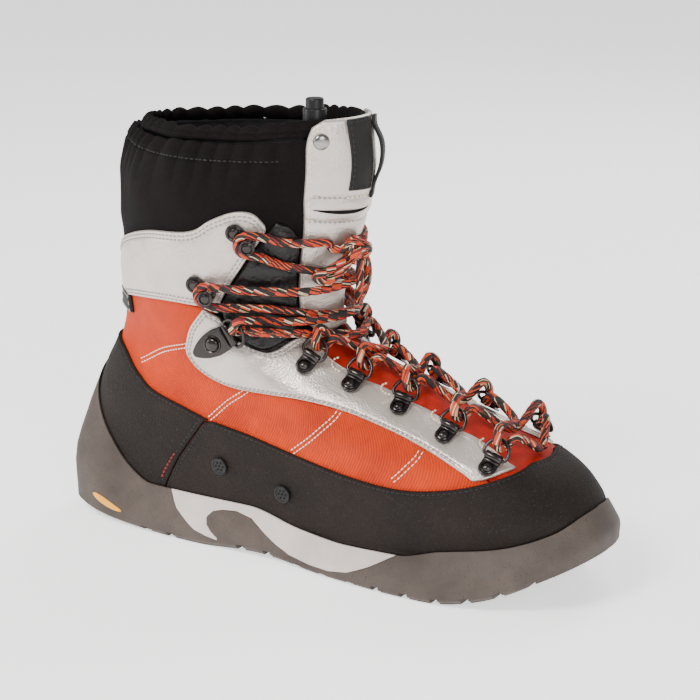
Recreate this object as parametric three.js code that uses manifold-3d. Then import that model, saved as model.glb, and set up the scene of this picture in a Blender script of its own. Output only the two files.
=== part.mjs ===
// Laced mountaineering boot, right foot, size 43 to 44.
// Millimetres. +X to the toe, +Z up, the outer (lateral) side is -Y.
// The origin is on the ground under the middle of the heel.
//
// The whole upper is draped on one form, the last. A point of the last is (u, v, h):
// u runs once round the boot (0 back seam, 0.25 outer side, 0.5 front crest, 0.75 inner side),
// v runs from the sole (0) to the collar (1), and h is the height off the last in mm.
import * as THREE from "three";
import { mergeVertices } from "three/addons/utils/BufferGeometryUtils.js";
import { TessellateModifier } from "three/addons/modifiers/TessellateModifier.js";
import Module from "manifold-3d";

const wasm = await Module();
wasm.setup();

// ---------- driving dimensions ----------
const GAP = 0.3; // clearance left between pieces that touch
const ROUND_STEPS = 26; // facets once round the last
const HEIGHT_STEPS = 12; // facets from sole to collar

// The last: one tilted section per row.
// v, back x, back z, front x, front z, half widths at heel, waist and ball, section power behind
// and in front, and the shift of the toe towards the inner side.
const LAST = [
  [0.0, -26, 13, 250, 20, 32, 35, 46, 2.3, 2.3, 8],
  [0.07, -35, 35, 261, 42, 35, 37, 50, 2.3, 2.4, 8],
  [0.14, -38, 51, 255, 54, 36, 38, 49, 2.3, 2.5, 8],
  [0.22, -36, 68, 240, 66, 36, 38, 47, 2.3, 2.4, 7],
  [0.32, -30, 85, 210, 77, 35, 38, 44, 2.3, 2.2, 6],
  [0.42, -22, 101, 177, 89, 35, 39, 41, 2.2, 2.05, 4],
  [0.51, -18, 117, 146, 101, 36, 41, 38, 2.2, 2.0, 3],
  [0.59, -17, 133, 122, 115, 38, 43, 38, 2.1, 2.0, 2],
  [0.67, -17, 151, 113, 132, 41, 46, 40, 2.0, 2.0, 1],
  [0.76, -16, 171, 118, 156, 43, 48, 43, 2.0, 2.0, 0],
  [0.86, -16, 193, 128, 186, 44, 49, 44, 2.0, 2.0, 0],
  [0.94, -12, 211, 132, 211, 43, 48, 43, 2.0, 2.0, 0],
  [1.0, 0, 227, 130, 234, 32, 38, 40, 2.0, 2.0, 0],
];
const WIDTH_STATIONS = [0.18, 0.48, 0.76]; // where the three half widths hold, back to front

// Layers of the upper, as heights off the last.
const LINING = { inner: -6.0, outer: -3.2 };
const BASE = { inner: LINING.outer + GAP, outer: -1.3 };
const OVERLAY = { inner: BASE.outer + GAP, outer: 0.6 };
const SHIELD_PROUD = 0.7; // the padded tongue shield over the other overlays
const COLLAR_BOTTOM = 0.605; // v where the black collar takes over from the quarter
const COLLAR_TOP = 0.972; // v where the gathered hem sits on the collar
const HEM_TOP = 1.0;

// Sole.
const SEAT = [[-60, 22], [45, 22], [80, 19], [112, 15.5], [170, 15.5], [195, 19], [226, 26], [248, 33],
  [275, 43]]; // side view of the sole's upper face, x and z
const FOOTBED_THICKNESS = 5;
const FEATHER = [[0, 0.32], [0.03, 0.27], [0.05, 0.21], [0.082, 0.13], [0.104, 0.062], [0.127, 0.035], [0.213, 0.035],
  [0.25, 0.013], [0.286, 0.002], [0.32, 0.002], [0.349, 0.02], [0.393, 0.035], [0.433, 0.06], [0.468, 0.092],
  [0.5, 0.103]]; // v of the sole's top edge against u
const SOLE_FLARE = [[0, 17.5], [0.06, 12], [0.15, 10], [0.3, 6.5], [0.44, 5], [0.6, 9], [0.75, 12], [0.9, 11],
  [1, 8]]; // how far the sole stands out, against length share
const SOLE_UNDERCUT = [[0, 16], [0.06, 9], [0.15, 5], [0.3, 3], [0.9, 4], [1, 10]]; // both against length share
const LIP = 1.8; // the sole's edge over the last at its top
const WALL = [[0, 0], [0.25, 0.5], [0.6, 1], [0.88, 0.95], [1, 1]]; // share of height down, share of flare
const ARCH = { from: 44, to: 126, rise: 2.5 };
const TOE_SPRING = { from: 188, rate: 0.0048 };
const GROOVE = { width: 4.5, depth: 3.4, shallow: 1.8 };
const GROOVES = [-19, 13, 30, 76, 93, 163, 180, 197, 213, 229, 244];
const SHALLOW_GROOVES = [111, 128, 146];
const MIDSOLE = [[18, 60], [20, 30], [28, 26], [34, 18], [41, 13], [47, 8.6], [54, 6.6], [61.5, 5.4], [61.5, 6.6],
  [58, 9.4], [55, 13], [54.5, 17], [58, 20.6], [64, 22.4], [73, 23.4], [83, 21.6], [91, 16], [99, 11], [108, 7], [121, 5], [134, 4.8],
  [146, 7], [158, 12], [171, 19], [182, 26], [182, 60]]; // side view, x and z

// Lace hardware. Each place is [u, v] on the outer side; the inner side mirrors it.
const RING_ROWS = [
  { rivet: [0.409, 0.235], ring: [0.435, 0.27], lift: 0.2 },
  { rivet: [0.411, 0.333], ring: [0.438, 0.36], lift: 0.2 },
  { rivet: [0.406, 0.415], ring: [0.44, 0.448], lift: 0.3 },
  { rivet: [0.381, 0.473], ring: [0.416, 0.508], lift: 0.9 },
  { rivet: [0.353, 0.52], ring: [0.397, 0.565], lift: 0.9 },
]; // lift is the packing under the clip where the facing is hollow
const LOCK = { rivet: [0.267, 0.552], ring: [0.322, 0.615] };
const MID_HOOK = { rivet: [0.271, 0.702], ring: [0.29, 0.688] };
const TOP_HOOK = { rivet: [0.309, 0.818], ring: [0.328, 0.802] };
const CLIP = { width: 9, thick: 1.3, barAt: 6.5, rivet: 3.1 };
const WIRE = 0.9; // radius of a ring's wire
const TUBE_WALL = 1.0;
const RING = { halfWidth: 6.2, reach: 9.6, tilt: 24 };
const LOCK_PLATE = { length: 24, width: 14, thick: 1.5, barAt: 12.5, rivet: 4.8 };
const LOCK_RING = { halfWidth: 7.4, reach: 10.4, tilt: 22 };
const HOOK = {
  width: 9.5, thick: 1.4, stemAt: 8.4, stem: 1.15, roller: 2.5, rollerHeight: 5.6, cap: 4.1, capThick: 1.5,
};
const LACE = 2.2; // lace radius
const LACE_CLEAR = 0.9; // play between lace and ring wire

// Collar toggle.
const TOGGLE = { u: 0.4, v: 0.985, radius: 6, height: 17, wall: 1.1, floor: 5, plunger: 4.4, proud: 5 };

// ---------- colours ----------
const finish = (color, roughness, metalness = 0) => new THREE.MeshStandardMaterial({ color, roughness, metalness });
const RUBBER = finish(0x5b5551, 0.8);
const FOAM = finish(0xc9bdb2, 0.85);
const RAND = finish(0x2a2320, 0.7);
const ORANGE = finish(0xd9481c, 0.8);
const SILVER = finish(0xc9c5c0, 0.45);
const BLACK_CLOTH = finish(0x17141a, 0.9);
const BLACK_SHEEN = finish(0x1c191b, 0.4);
const LINING_CLOTH = finish(0x2b2b2e, 0.95);
const STIFFENER = finish(0x8f8b84, 0.7);
const METAL = finish(0x3c3a3c, 0.4, 1);
const STEEL = finish(0x8c8a88, 0.3, 1);
const PLASTIC = finish(0x141416, 0.3);
const LACE_CORD = finish(0xa03a22, 0.85);

// ---------- curves and the last ----------
// Monotone cubic through rows [x, y, ...], so a profile never overshoots its points.
function follow(rows, column, x) {
  const last = rows.length - 1;
  if (x <= rows[0][0]) return rows[0][column];
  if (x >= rows[last][0]) return rows[last][column];
  let i = 0;
  while (rows[i + 1][0] < x) i += 1;
  const slope = (k) => (rows[k + 1][column] - rows[k][column]) / (rows[k + 1][0] - rows[k][0]);
  const tangent = (k) => {
    if (k === 0) return slope(0);
    if (k === last) return slope(last - 1);
    const before = slope(k - 1);
    const after = slope(k);
    return before * after <= 0 ? 0 : (2 * before * after) / (before + after);
  };
  const span = rows[i + 1][0] - rows[i][0];
  const s = (x - rows[i][0]) / span;
  const a = rows[i][column];
  const b = rows[i + 1][column];
  const ta = tangent(i) * span;
  const tb = tangent(i + 1) * span;
  return a + s * (ta + s * (3 * (b - a) - 2 * ta - tb + s * (2 * (a - b) + ta + tb)));
}

// Share of the section's length at u, 0 at the back and 1 at the front.
const lengthShare = (u) => (1 - Math.cos(2 * Math.PI * u)) / 2;

function lastPoint(u, v) {
  const [bx, bz, cx, cz, heel, waist, ball, powerBack, powerFront, shift] =
    [1, 2, 3, 4, 5, 6, 7, 8, 9, 10].map((column) => follow(LAST, column, v));
  const t = lengthShare(u);
  const [a, b, c] = WIDTH_STATIONS;
  const half = (heel * (t - b) * (t - c)) / ((a - b) * (a - c))
    + (waist * (t - a) * (t - c)) / ((b - a) * (b - c))
    + (ball * (t - a) * (t - b)) / ((c - a) * (c - b));
  const power = t < 0.5 ? powerBack : powerFront;
  const bulge = Math.sqrt(Math.max(0, 1 - Math.abs(2 * t - 1) ** power));
  const turn = u - Math.floor(u);
  const side = turn < 0.5 ? -1 : 1;
  return new THREE.Vector3(bx + (cx - bx) * t, side * half * bulge + shift * t * t, bz + (cz - bz) * t);
}

function lastNormal(u, v) {
  const e = 0.004;
  const low = Math.max(0, v - e);
  const high = Math.min(1, v + e);
  const round = lastPoint(u + e, v).sub(lastPoint(u - e, v));
  const up = lastPoint(u, high).sub(lastPoint(u, low));
  return round.cross(up).normalize();
}

const onLast = (u, v, h) => lastPoint(u, v).addScaledVector(lastNormal(u, v), h);

// ---------- solids ----------
// A closed three.js geometry as a manifold solid, and back.
function solid(geometry) {
  const bare = geometry.clone();
  for (const name of Object.keys(bare.attributes)) if (name !== "position") bare.deleteAttribute(name);
  const merged = mergeVertices(bare, 1e-4);
  const vertProperties = new Float32Array(merged.attributes.position.array);
  const triVerts = new Uint32Array(merged.index.array);
  return new wasm.Manifold(new wasm.Mesh({ numProp: 3, vertProperties, triVerts }));
}

function geometryOf(body) {
  const { numProp, vertProperties, triVerts } = body.getMesh();
  const positions = [];
  for (let i = 0; i < vertProperties.length; i += numProp) positions.push(...vertProperties.slice(i, i + 3));
  const geometry = new THREE.BufferGeometry();
  geometry.setAttribute("position", new THREE.Float32BufferAttribute(positions, 3));
  geometry.setIndex([...triVerts]);
  return geometry;
}

function indexed(points, faces) {
  const geometry = new THREE.BufferGeometry();
  geometry.setAttribute("position", new THREE.Float32BufferAttribute(points.flatMap((p) => [p.x, p.y, p.z]), 3));
  geometry.setIndex(faces);
  return geometry;
}

// Faces between two closed loops of n points that start at a and b. Inner walls run downwards, so
// they take the other diagonal: layers that face each other then have parallel facets.
function loopBand(faces, n, a, b, inward = false) {
  for (let i = 0; i < n; i += 1) {
    const j = (i + 1) % n;
    if (inward) faces.push(a + i, a + j, b + i, a + j, b + j, b + i);
    else faces.push(a + i, a + j, b + j, a + i, b + j, b + i);
  }
}

const shares = (n) => Array.from({ length: n + 1 }, (_, i) => i / n);

// A wall all round the last between two heights off it.
function ring(v0, v1, inner, outer, rows = HEIGHT_STEPS) {
  const n = ROUND_STEPS;
  const points = [];
  const levels = shares(rows).map((s) => v0 + (v1 - v0) * s);
  for (const v of levels) for (let i = 0; i < n; i += 1) points.push(onLast(i / n, v, outer));
  for (const v of levels.toReversed()) for (let i = 0; i < n; i += 1) points.push(onLast(i / n, v, inner));
  const faces = [];
  const loops = 2 * levels.length;
  for (let k = 0; k < loops; k += 1) loopBand(faces, n, k * n, ((k + 1) % loops) * n, k >= levels.length);
  return solid(indexed(points, faces));
}

// Everything inside the last at one height off it.
function filled(h) {
  const n = ROUND_STEPS;
  const points = [];
  const levels = shares(HEIGHT_STEPS);
  for (const v of levels) for (let i = 0; i < n; i += 1) points.push(onLast(i / n, v, h));
  const faces = [];
  for (let k = 0; k < HEIGHT_STEPS; k += 1) loopBand(faces, n, k * n, (k + 1) * n);
  const bottom = points.push(lastPoint(0, 0).lerp(lastPoint(0.5, 0), 0.5)) - 1;
  const top = points.push(lastPoint(0, 1).lerp(lastPoint(0.5, 1), 0.5)) - 1;
  for (let i = 0; i < n; i += 1) {
    const j = (i + 1) % n;
    faces.push(bottom, j, i, top, HEIGHT_STEPS * n + i, HEIGHT_STEPS * n + j);
  }
  return solid(indexed(points, faces));
}

// A flat pattern outline in (u, v) draped on the last as a slab: the knife that cuts a layer.
const PATTERN = { round: 300, up: 230 }; // mm of pattern for one unit of u and of v
function patch(outline, inner = -6.5, outer = 7, maxEdge = 20) {
  const shape = new THREE.Shape(outline.map(([u, v]) => new THREE.Vector2(u * PATTERN.round, v * PATTERN.up)));
  const flat = new THREE.ExtrudeGeometry(shape, { depth: 1, steps: 1, bevelEnabled: false, curveSegments: 1 });
  const split = new TessellateModifier(maxEdge, 8).modify(flat);
  const position = split.attributes.position;
  for (let i = 0; i < position.count; i += 1) {
    const h = position.getZ(i) > 0.5 ? outer : inner;
    const p = onLast(position.getX(i) / PATTERN.round, position.getY(i) / PATTERN.up, h);
    position.setXYZ(i, p.x, p.y, p.z);
  }
  return solid(split);
}

const box2 = (u0, u1, v0, v1) => [[u0, v0], [u1, v0], [u1, v1], [u0, v1]];
const mirrored = (outline) => outline.map(([u, v]) => [1 - u, v]).toReversed();
const smooth = (points, n) => new THREE.SplineCurve(points.map(([x, y]) => new THREE.Vector2(x, y)))
  .getPoints(n).map((p) => [p.x, p.y]);

// A side view outline (x, z) pushed through the boot's width.
function prism(outline, halfWidth = 90) {
  const shape = new THREE.Shape(outline.map(([x, z]) => new THREE.Vector2(x, z)));
  const geometry = new THREE.ExtrudeGeometry(shape, { depth: 2 * halfWidth, bevelEnabled: false });
  geometry.translate(0, 0, -halfWidth);
  geometry.rotateX(Math.PI / 2);
  return solid(geometry);
}

const seatLine = smooth(SEAT, 14);
const aboveSeat = (gap) => prism([...seatLine.map(([x, z]) => [x, z + gap]), [275, 300], [-60, 300]]);
const seatBand = (low, high) =>
  prism([...seatLine.map(([x, z]) => [x, z + low]), ...seatLine.toReversed().map(([x, z]) => [x, z + high])]);

const boot = new THREE.Group();

function place(name, body, material) {
  const mesh = new THREE.Mesh(body.isBufferGeometry ? body : geometryOf(body), material);
  mesh.name = name;
  boot.add(mesh);
  return mesh;
}

// ---------- sole ----------
function treadHeight(x) {
  if (x > ARCH.from && x < ARCH.to) {
    return ARCH.rise * Math.sin((Math.PI * (x - ARCH.from)) / (ARCH.to - ARCH.from)) ** 2;
  }
  return x > TOE_SPRING.from ? TOE_SPRING.rate * (x - TOE_SPRING.from) ** 2 : 0;
}

// A point of the sole's wall: q is 0 at its top edge and 1 at the tread.
function soleWall(u, q) {
  const fromBack = u <= 0.5 ? u : 1 - u;
  const edge = lastPoint(u, follow(FEATHER, 1, fromBack));
  const normal = lastNormal(u, follow(FEATHER, 1, fromBack));
  normal.z = 0;
  normal.normalize();
  const t = lengthShare(u);
  const flare = follow(SOLE_FLARE, 1, t);
  const tuck = q === 1 ? follow(SOLE_UNDERCUT, 1, t) : 0;
  const out = LIP + (flare - LIP) * follow(WALL, 1, q) - tuck;
  const foot = edge.clone().addScaledVector(normal, flare - follow(SOLE_UNDERCUT, 1, t));
  const p = edge.clone().addScaledVector(normal, out);
  p.z = edge.z + (treadHeight(foot.x) - edge.z) * q;
  return p;
}

function soleBlock() {
  const n = 44;
  const levels = [1, 0.88, 0.6, 0.4, 0.2, 0];
  const points = levels.flatMap((q) => Array.from({ length: n }, (_, i) => soleWall(i / n, q)));
  const faces = [];
  for (let k = 0; k + 1 < levels.length; k += 1) loopBand(faces, n, k * n, (k + 1) * n);
  // bottom and top are strips across the sole, from one side to the other
  const top = (levels.length - 1) * n;
  for (let i = 0; i < n / 2; i += 1) {
    const a = i;
    const b = i + 1;
    const c = (n - i) % n;
    const d = n - i - 1;
    if (i > 0) {
      faces.push(a, c, b);
      faces.push(top + a, top + b, top + c);
    }
    if (b !== d) {
      faces.push(b, c, d);
      faces.push(top + b, top + d, top + c);
    }
  }
  return solid(indexed(points, faces));
}

function groove(x, depth) {
  const half = GROOVE.width / 2;
  const low = Math.min(treadHeight(x - half), treadHeight(x + half)) - 4;
  const roof = (at) => treadHeight(at) + depth;
  return prism([[x - half - 0.5, low], [x + half + 0.5, low], [x + half, roof(x + half)], [x - half, roof(x - half)]]);
}

const footSpace = filled(OVERLAY.outer + GAP).intersect(aboveSeat(0));
const sole = soleBlock().subtract(footSpace);
const grown = (outline, by) => {
  const count = outline.length;
  return outline.map(([x, z], i) => {
    const before = outline[(i + count - 1) % count];
    const after = outline[(i + 1) % count];
    const dx = after[0] - before[0];
    const dz = after[1] - before[1];
    const length = Math.hypot(dx, dz);
    return [x + (dz / length) * by, z - (dx / length) * by];
  });
};
place("midsole", sole.intersect(prism(MIDSOLE)), FOAM);
let outsole = sole.subtract(prism(grown(MIDSOLE, GAP)));
for (const x of GROOVES) outsole = outsole.subtract(groove(x, GROOVE.depth));
for (const x of SHALLOW_GROOVES) outsole = outsole.subtract(groove(x, GROOVE.shallow));
place("outsole", outsole, RUBBER);

// ---------- upper ----------
const trimmed = aboveSeat(GAP);
const footbedTop = GAP + FOOTBED_THICKNESS;
place("footbed", filled(LINING.inner - GAP).intersect(seatBand(GAP, footbedTop)), BLACK_SHEEN);
place("lining", ring(0, 1, LINING.inner, LINING.outer).intersect(ring(0, COLLAR_TOP - 0.0012, -8, 0, 12))
  .intersect(trimmed), LINING_CLOTH);

const base = ring(0, 1, BASE.inner, BASE.outer).intersect(trimmed);
const overlay = ring(0, 1, OVERLAY.inner, OVERLAY.outer).intersect(trimmed);

const COUNTER = box2(-0.13, 0.13, 0, 0.37);
const PUFF = box2(0.365, 0.635, 0, 0.225);
const TONGUE_LOW = box2(0.402, 0.598, 0.25, 0.7);
const loose = ([[u0, v0], , [u1, v1]]) => box2(u0 - 0.0012, u1 + 0.0012, Math.max(0, v0 - 0.0015), v1 + 0.0015);
place("heel_counter", base.intersect(patch(COUNTER)), STIFFENER);
place("toe_puff", base.intersect(patch(PUFF)), STIFFENER);
const below = base.intersect(ring(0, COLLAR_BOTTOM - 0.0015, -4.5, 0.4, 9));
place("tongue_lower", below.intersect(patch(TONGUE_LOW)), ORANGE);
place("quarter", below
  .subtract(patch(loose(COUNTER))).subtract(patch(loose(PUFF))).subtract(patch(loose(TONGUE_LOW))), ORANGE);
place("collar", base.intersect(ring(COLLAR_BOTTOM, COLLAR_TOP - 0.0012, -4.5, 0.4, 5)), BLACK_CLOTH);
place("collar_hem", ring(COLLAR_TOP, HEM_TOP, LINING.inner + 0.6, BASE.outer - 0.4, 2), BLACK_CLOTH);

// Rand: black rubberised wrap, in a heel piece and a front piece.
const RAND_TOP_HEEL = [[0.196, 0.24], [0.174, 0.268], [0.142, 0.3], [0.123, 0.34], [0.087, 0.4], [0.029, 0.427]];
const RAND_SEAM = [[0.141, 0.03], [0.153, 0.07], [0.171, 0.14], [0.192, 0.23]];
const RAND_TOP_FRONT = [[0.2, 0.236], [0.227, 0.217], [0.259, 0.182], [0.291, 0.155], [0.324, 0.147], [0.363, 0.17],
  [0.414, 0.212], [0.464, 0.247]];
const heelHalf = [...smooth([[0.138, 0], ...RAND_SEAM], 8), ...smooth(RAND_TOP_HEEL, 10)];
place("rand_heel", overlay.intersect(patch(
  [...heelHalf, ...heelHalf.toReversed().map(([u, v]) => [-u, v])])), RAND);
const frontHalf = [...smooth([[0.138, 0], ...RAND_SEAM], 8).map(([u, v]) => [u + 0.0015, v]),
  ...smooth(RAND_TOP_FRONT, 14)];
place("rand_front", overlay.intersect(patch([...frontHalf, ...mirrored(frontHalf)])), RAND);

// Silver facing that carries the rings, one a side.
const FACING = [
  ...smooth([[0.276, 0.64], [0.244, 0.58], [0.211, 0.497], [0.212, 0.432], [0.237, 0.398], [0.277, 0.405],
    [0.306, 0.41], [0.338, 0.398], [0.361, 0.36], [0.376, 0.305], [0.381, 0.247], [0.386, 0.2]], 26),
  [0.4, 0.2085], [0.42, 0.227], [0.443, 0.2415],
  ...smooth([[0.44, 0.25], [0.45, 0.323], [0.443, 0.36], [0.447, 0.408], [0.438, 0.438], [0.43, 0.475], [0.413, 0.503],
    [0.406, 0.542], [0.407, 0.583], [0.387, 0.6], [0.342, 0.562], [0.32, 0.552], [0.299, 0.58], [0.294, 0.628]], 26),
];
const CUFF_HALF = [
  ...smooth([[0.0, 0.515], [0.041, 0.53], [0.109, 0.578], [0.211, 0.631], [0.272, 0.643]], 8),
  [0.294, 0.632],
  ...smooth([[0.301, 0.662], [0.31, 0.695], [0.323, 0.74], [0.333, 0.775], [0.345, 0.82], [0.333, 0.84], [0.319, 0.855],
    [0.296, 0.85], [0.267, 0.828], [0.256, 0.805], [0.187, 0.78], [0.111, 0.728], [0.071, 0.69], [0.0, 0.66]], 26),
];
const cuffRight = CUFF_HALF.slice(1, -1);
for (const [side, turn] of [["lateral", (o) => o], ["medial", mirrored]]) {
  place(`facing_${side}`, overlay.intersect(patch(turn(FACING))), SILVER);
}
place("cuff", overlay.intersect(patch([[0, 0.515], ...cuffRight, [0, 0.66],
  ...cuffRight.toReversed().map(([u, v]) => [-u, v])])).subtract(
  patch(FACING.map(([u, v]) => [u, v + 0.003]))).subtract(patch(mirrored(FACING).map(([u, v]) => [u, v + 0.003]))), SILVER);

// Dark padded panels between the cuff and the tongue.
const PAD = [
  ...smooth([[0.297, 0.585], [0.32, 0.556], [0.342, 0.566], [0.385, 0.605]], 8).map(([u, v]) => [u + 0.001, v + 0.005]),
  [0.4, 0.64], [0.398, 0.69], [0.389, 0.79], [0.374, 0.88], [0.352, 0.87],
  ...smooth([[0.347, 0.82], [0.335, 0.775], [0.325, 0.74], [0.312, 0.695], [0.303, 0.662], [0.297, 0.62]], 10)
    .map(([u, v]) => [u + 0.0015, v]),
];
for (const [side, turn] of [["lateral", (o) => o], ["medial", mirrored]]) {
  place(`ankle_pad_${side}`, overlay.intersect(patch(turn(PAD))).subtract(
    patch(turn(FACING.map(([u, v]) => [u + 0.0005, v + 0.0018])))), BLACK_SHEEN);
}

// Padded silver shield up the front of the tongue, its strap label, webbing loop and snap.
const SHIELD = [
  [0.5, 0.628], [0.462, 0.622],
  ...smooth([[0.42, 0.622], [0.408, 0.645], [0.406, 0.69], [0.397, 0.79], [0.383, 0.88], [0.379, 0.96], [0.389, 0.99]], 10),
  [0.41, 0.999],
];
const shieldOutline = [...SHIELD, ...mirrored(SHIELD)].toReversed();
const shieldLayer = ring(0, 1, OVERLAY.inner, OVERLAY.outer + SHIELD_PROUD);
place("tongue_shield", shieldLayer.intersect(patch(shieldOutline)), SILVER);
const SHIELD_TOP = OVERLAY.outer + SHIELD_PROUD;
place("label_strap", patch(box2(0.446, 0.502, 0.897, 0.998), SHIELD_TOP + 0.8, SHIELD_TOP + 2, 12), BLACK_CLOTH);

// ---------- lace hardware ----------
const SEATED = OVERLAY.outer + GAP; // height off the last of everything riveted to the overlays
const at = ([u, v], side) => (side === "lateral" ? [u, v] : [1 - u, v]);

// A frame on the last: origin at one place, X along the surface to another, Z straight out.
function frameOn(from, toward, h) {
  const origin = onLast(from[0], from[1], h);
  const z = lastNormal(from[0], from[1]);
  const x = onLast(toward[0], toward[1], h).sub(origin);
  x.addScaledVector(z, -x.dot(z)).normalize();
  return new THREE.Matrix4().makeBasis(x, z.clone().cross(x), z).setPosition(origin);
}

function mount(name, body, material, frame) {
  const mesh = place(name, body, material);
  mesh.applyMatrix4(frame);
  return mesh;
}

function slab(outline, thick, z = 0) {
  const shape = new THREE.Shape(outline.map(([x, y]) => new THREE.Vector2(x, y)));
  const geometry = new THREE.ExtrudeGeometry(shape, { depth: thick, bevelEnabled: false });
  geometry.translate(0, 0, z);
  return solid(geometry);
}

const arc = (x, y, r, from, to, n) => shares(n).map((s) => {
  const a = THREE.MathUtils.degToRad(from + (to - from) * s);
  return [x + r * Math.cos(a), y + r * Math.sin(a)];
});

// Solid turned about Z, from a profile of [radius, z] that starts and ends on the axis.
const turned = (profile, x = 0, sides = 8) => {
  const geometry = new THREE.LatheGeometry(profile.map(([r, z]) => new THREE.Vector2(r, z)), sides);
  geometry.rotateX(Math.PI / 2);
  geometry.translate(x, 0, 0);
  return solid(geometry);
};

const dome = (r, z0, rise, x = 0) =>
  turned([[0, z0], [r, z0], [r * 0.92, z0 + rise * 0.45], [r * 0.6, z0 + rise * 0.85], [0, z0 + rise]], x);

const tubeOuter = WIRE + GAP + 0.05 + TUBE_WALL;

// The rolled edge of a clip: a tube across the plate that holds the ring's straight bar.
function rolledEdge(x, width) {
  const shape = new THREE.Shape(arc(0, 0, tubeOuter, 0, 324, 9).map(([px, py]) => new THREE.Vector2(px, py)));
  shape.holes.push(new THREE.Path(arc(0, 0, tubeOuter - TUBE_WALL, 324, 0, 9).map(([px, py]) => new THREE.Vector2(px, py))));
  const geometry = new THREE.ExtrudeGeometry(shape, { depth: width, bevelEnabled: false });
  geometry.translate(0, 0, -width / 2);
  geometry.rotateX(Math.PI / 2);
  geometry.translate(x, 0, tubeOuter);
  return solid(geometry);
}

function ringLoop({ halfWidth: w, reach }) {
  const half = [[0, w - 1.2], [1.4, w], [0.6 * reach, 0.9 * w], [0.9 * reach, 0.5 * w]];
  const loop = [[0, 0], [0, w / 2], ...half, [reach, 0], ...half.toReversed().map(([x, y]) => [x, -y]), [0, -w / 2]];
  const curve = new THREE.CatmullRomCurve3(loop.map(([x, y]) => new THREE.Vector3(x, y, 0)), true, "centripetal");
  return new THREE.TubeGeometry(curve, 15, WIRE, 6, true);
}

const tilted = (frame, x, angle) => frame.clone()
  .multiply(new THREE.Matrix4().makeTranslation(x, 0, tubeOuter))
  .multiply(new THREE.Matrix4().makeRotationY(-THREE.MathUtils.degToRad(angle)));

const clipBody = slab([...arc(0, 0, CLIP.width / 2, 90, 270, 6), [CLIP.barAt - 1.6, -CLIP.width / 2],
  [CLIP.barAt - 1.6, CLIP.width / 2]], CLIP.thick)
  .add(dome(CLIP.rivet, CLIP.thick - 0.3, 2.2)).add(rolledEdge(CLIP.barAt, CLIP.width));
const lockEnd = LOCK_PLATE.barAt - 1.6;
const lockTail = lockEnd - LOCK_PLATE.length;
const lockBody = slab([[lockEnd, LOCK_PLATE.width / 2 - 1], [2, LOCK_PLATE.width / 2], [lockTail + 4, 4.5],
  [lockTail, 1.5], [lockTail, -1.5], [lockTail + 4, -4.5], [2, -LOCK_PLATE.width / 2],
  [lockEnd, -LOCK_PLATE.width / 2 + 1]], LOCK_PLATE.thick)
  .add(dome(LOCK_PLATE.rivet, LOCK_PLATE.thick - 0.3, 2.2)).add(rolledEdge(LOCK_PLATE.barAt, LOCK_PLATE.width - 3));
const capLow = HOOK.thick + GAP + HOOK.rollerHeight + GAP;
const hookBody = slab([...arc(0, 0, HOOK.width / 2, 78, 282, 6), ...arc(HOOK.stemAt, 0, HOOK.width / 2 - 1, 282, 438, 5)],
  HOOK.thick)
  .add(turned([[0, 1], [4.1, 1], [4.1, 1.75], [3.1, 2.0], [0, 2.05]], 0, 8))
  .add(turned([[0, 0.8], [HOOK.stem, 0.8], [HOOK.stem, capLow], [HOOK.cap, capLow], [HOOK.cap, capLow + HOOK.capThick - 0.6],
    [HOOK.cap - 0.8, capLow + HOOK.capThick], [0, capLow + HOOK.capThick]], HOOK.stemAt, 12));
const rollerLow = HOOK.thick + GAP;
const rollerBody = new THREE.LatheGeometry([[HOOK.stem + GAP, 0], [HOOK.roller, 0], [HOOK.roller - 0.5, 1.2],
  [HOOK.roller - 0.5, HOOK.rollerHeight - 1.2], [HOOK.roller, HOOK.rollerHeight], [HOOK.stem + GAP, HOOK.rollerHeight],
  [HOOK.stem + GAP, 0]].map(([r, z]) => new THREE.Vector2(r, z)), 12).rotateX(Math.PI / 2);

const rings = { lateral: [], medial: [] };
const hooks = { lateral: [], medial: [] };
for (const side of ["lateral", "medial"]) {
  RING_ROWS.forEach((row, i) => {
    const frame = frameOn(at(row.rivet, side), at(row.ring, side), SEATED + row.lift);
    mount(`clip_${side}_${i + 1}`, clipBody, METAL, frame);
    const ringFrame = tilted(frame, CLIP.barAt, RING.tilt);
    mount(`ring_${side}_${i + 1}`, ringLoop(RING), METAL, ringFrame);
    rings[side].push({ frame: ringFrame, reach: RING.reach, place: at(row.ring, side) });
  });
  const lockFrame = frameOn(at(LOCK.rivet, side), at(LOCK.ring, side), SEATED + 0.5);
  mount(`lock_plate_${side}`, lockBody, METAL, lockFrame);
  const lockRing = tilted(lockFrame, LOCK_PLATE.barAt, LOCK_RING.tilt);
  mount(`lock_ring_${side}`, ringLoop(LOCK_RING), STEEL, lockRing);
  rings[side].push({ frame: lockRing, reach: LOCK_RING.reach, place: at(LOCK.ring, side) });
  for (const [name, spot] of [["mid", MID_HOOK], ["top", TOP_HOOK]]) {
    const [u, v] = at(spot.ring, side);
    const [rivetU, rivetV] = at(spot.rivet, side);
    const frame = frameOn([u, v], [2 * u - rivetU, 2 * v - rivetV], SEATED + 0.3)
      .multiply(new THREE.Matrix4().makeTranslation(-HOOK.stemAt, 0, 0));
    mount(`hook_${name}_${side}`, hookBody, METAL, frame);
    const stem = frame.clone().multiply(new THREE.Matrix4().makeTranslation(HOOK.stemAt, 0, rollerLow));
    mount(`roller_${name}_${side}`, rollerBody, STEEL, stem);
    const across = frameOn([u, v], [side === "lateral" ? u + 0.02 : u - 0.02, v], SEATED + 0.3 + rollerLow);
    hooks[side].push({ frame: across, place: [u, v] });
  }
}

// ---------- laces ----------
// Sign that makes a frame's Y axis point up the boot.
function upSign(frame, [u, v]) {
  const y = new THREE.Vector3().setFromMatrixColumn(frame, 1);
  return Math.sign(y.dot(lastPoint(u, v + 0.01).sub(lastPoint(u, v - 0.01)))) || 1;
}

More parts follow.
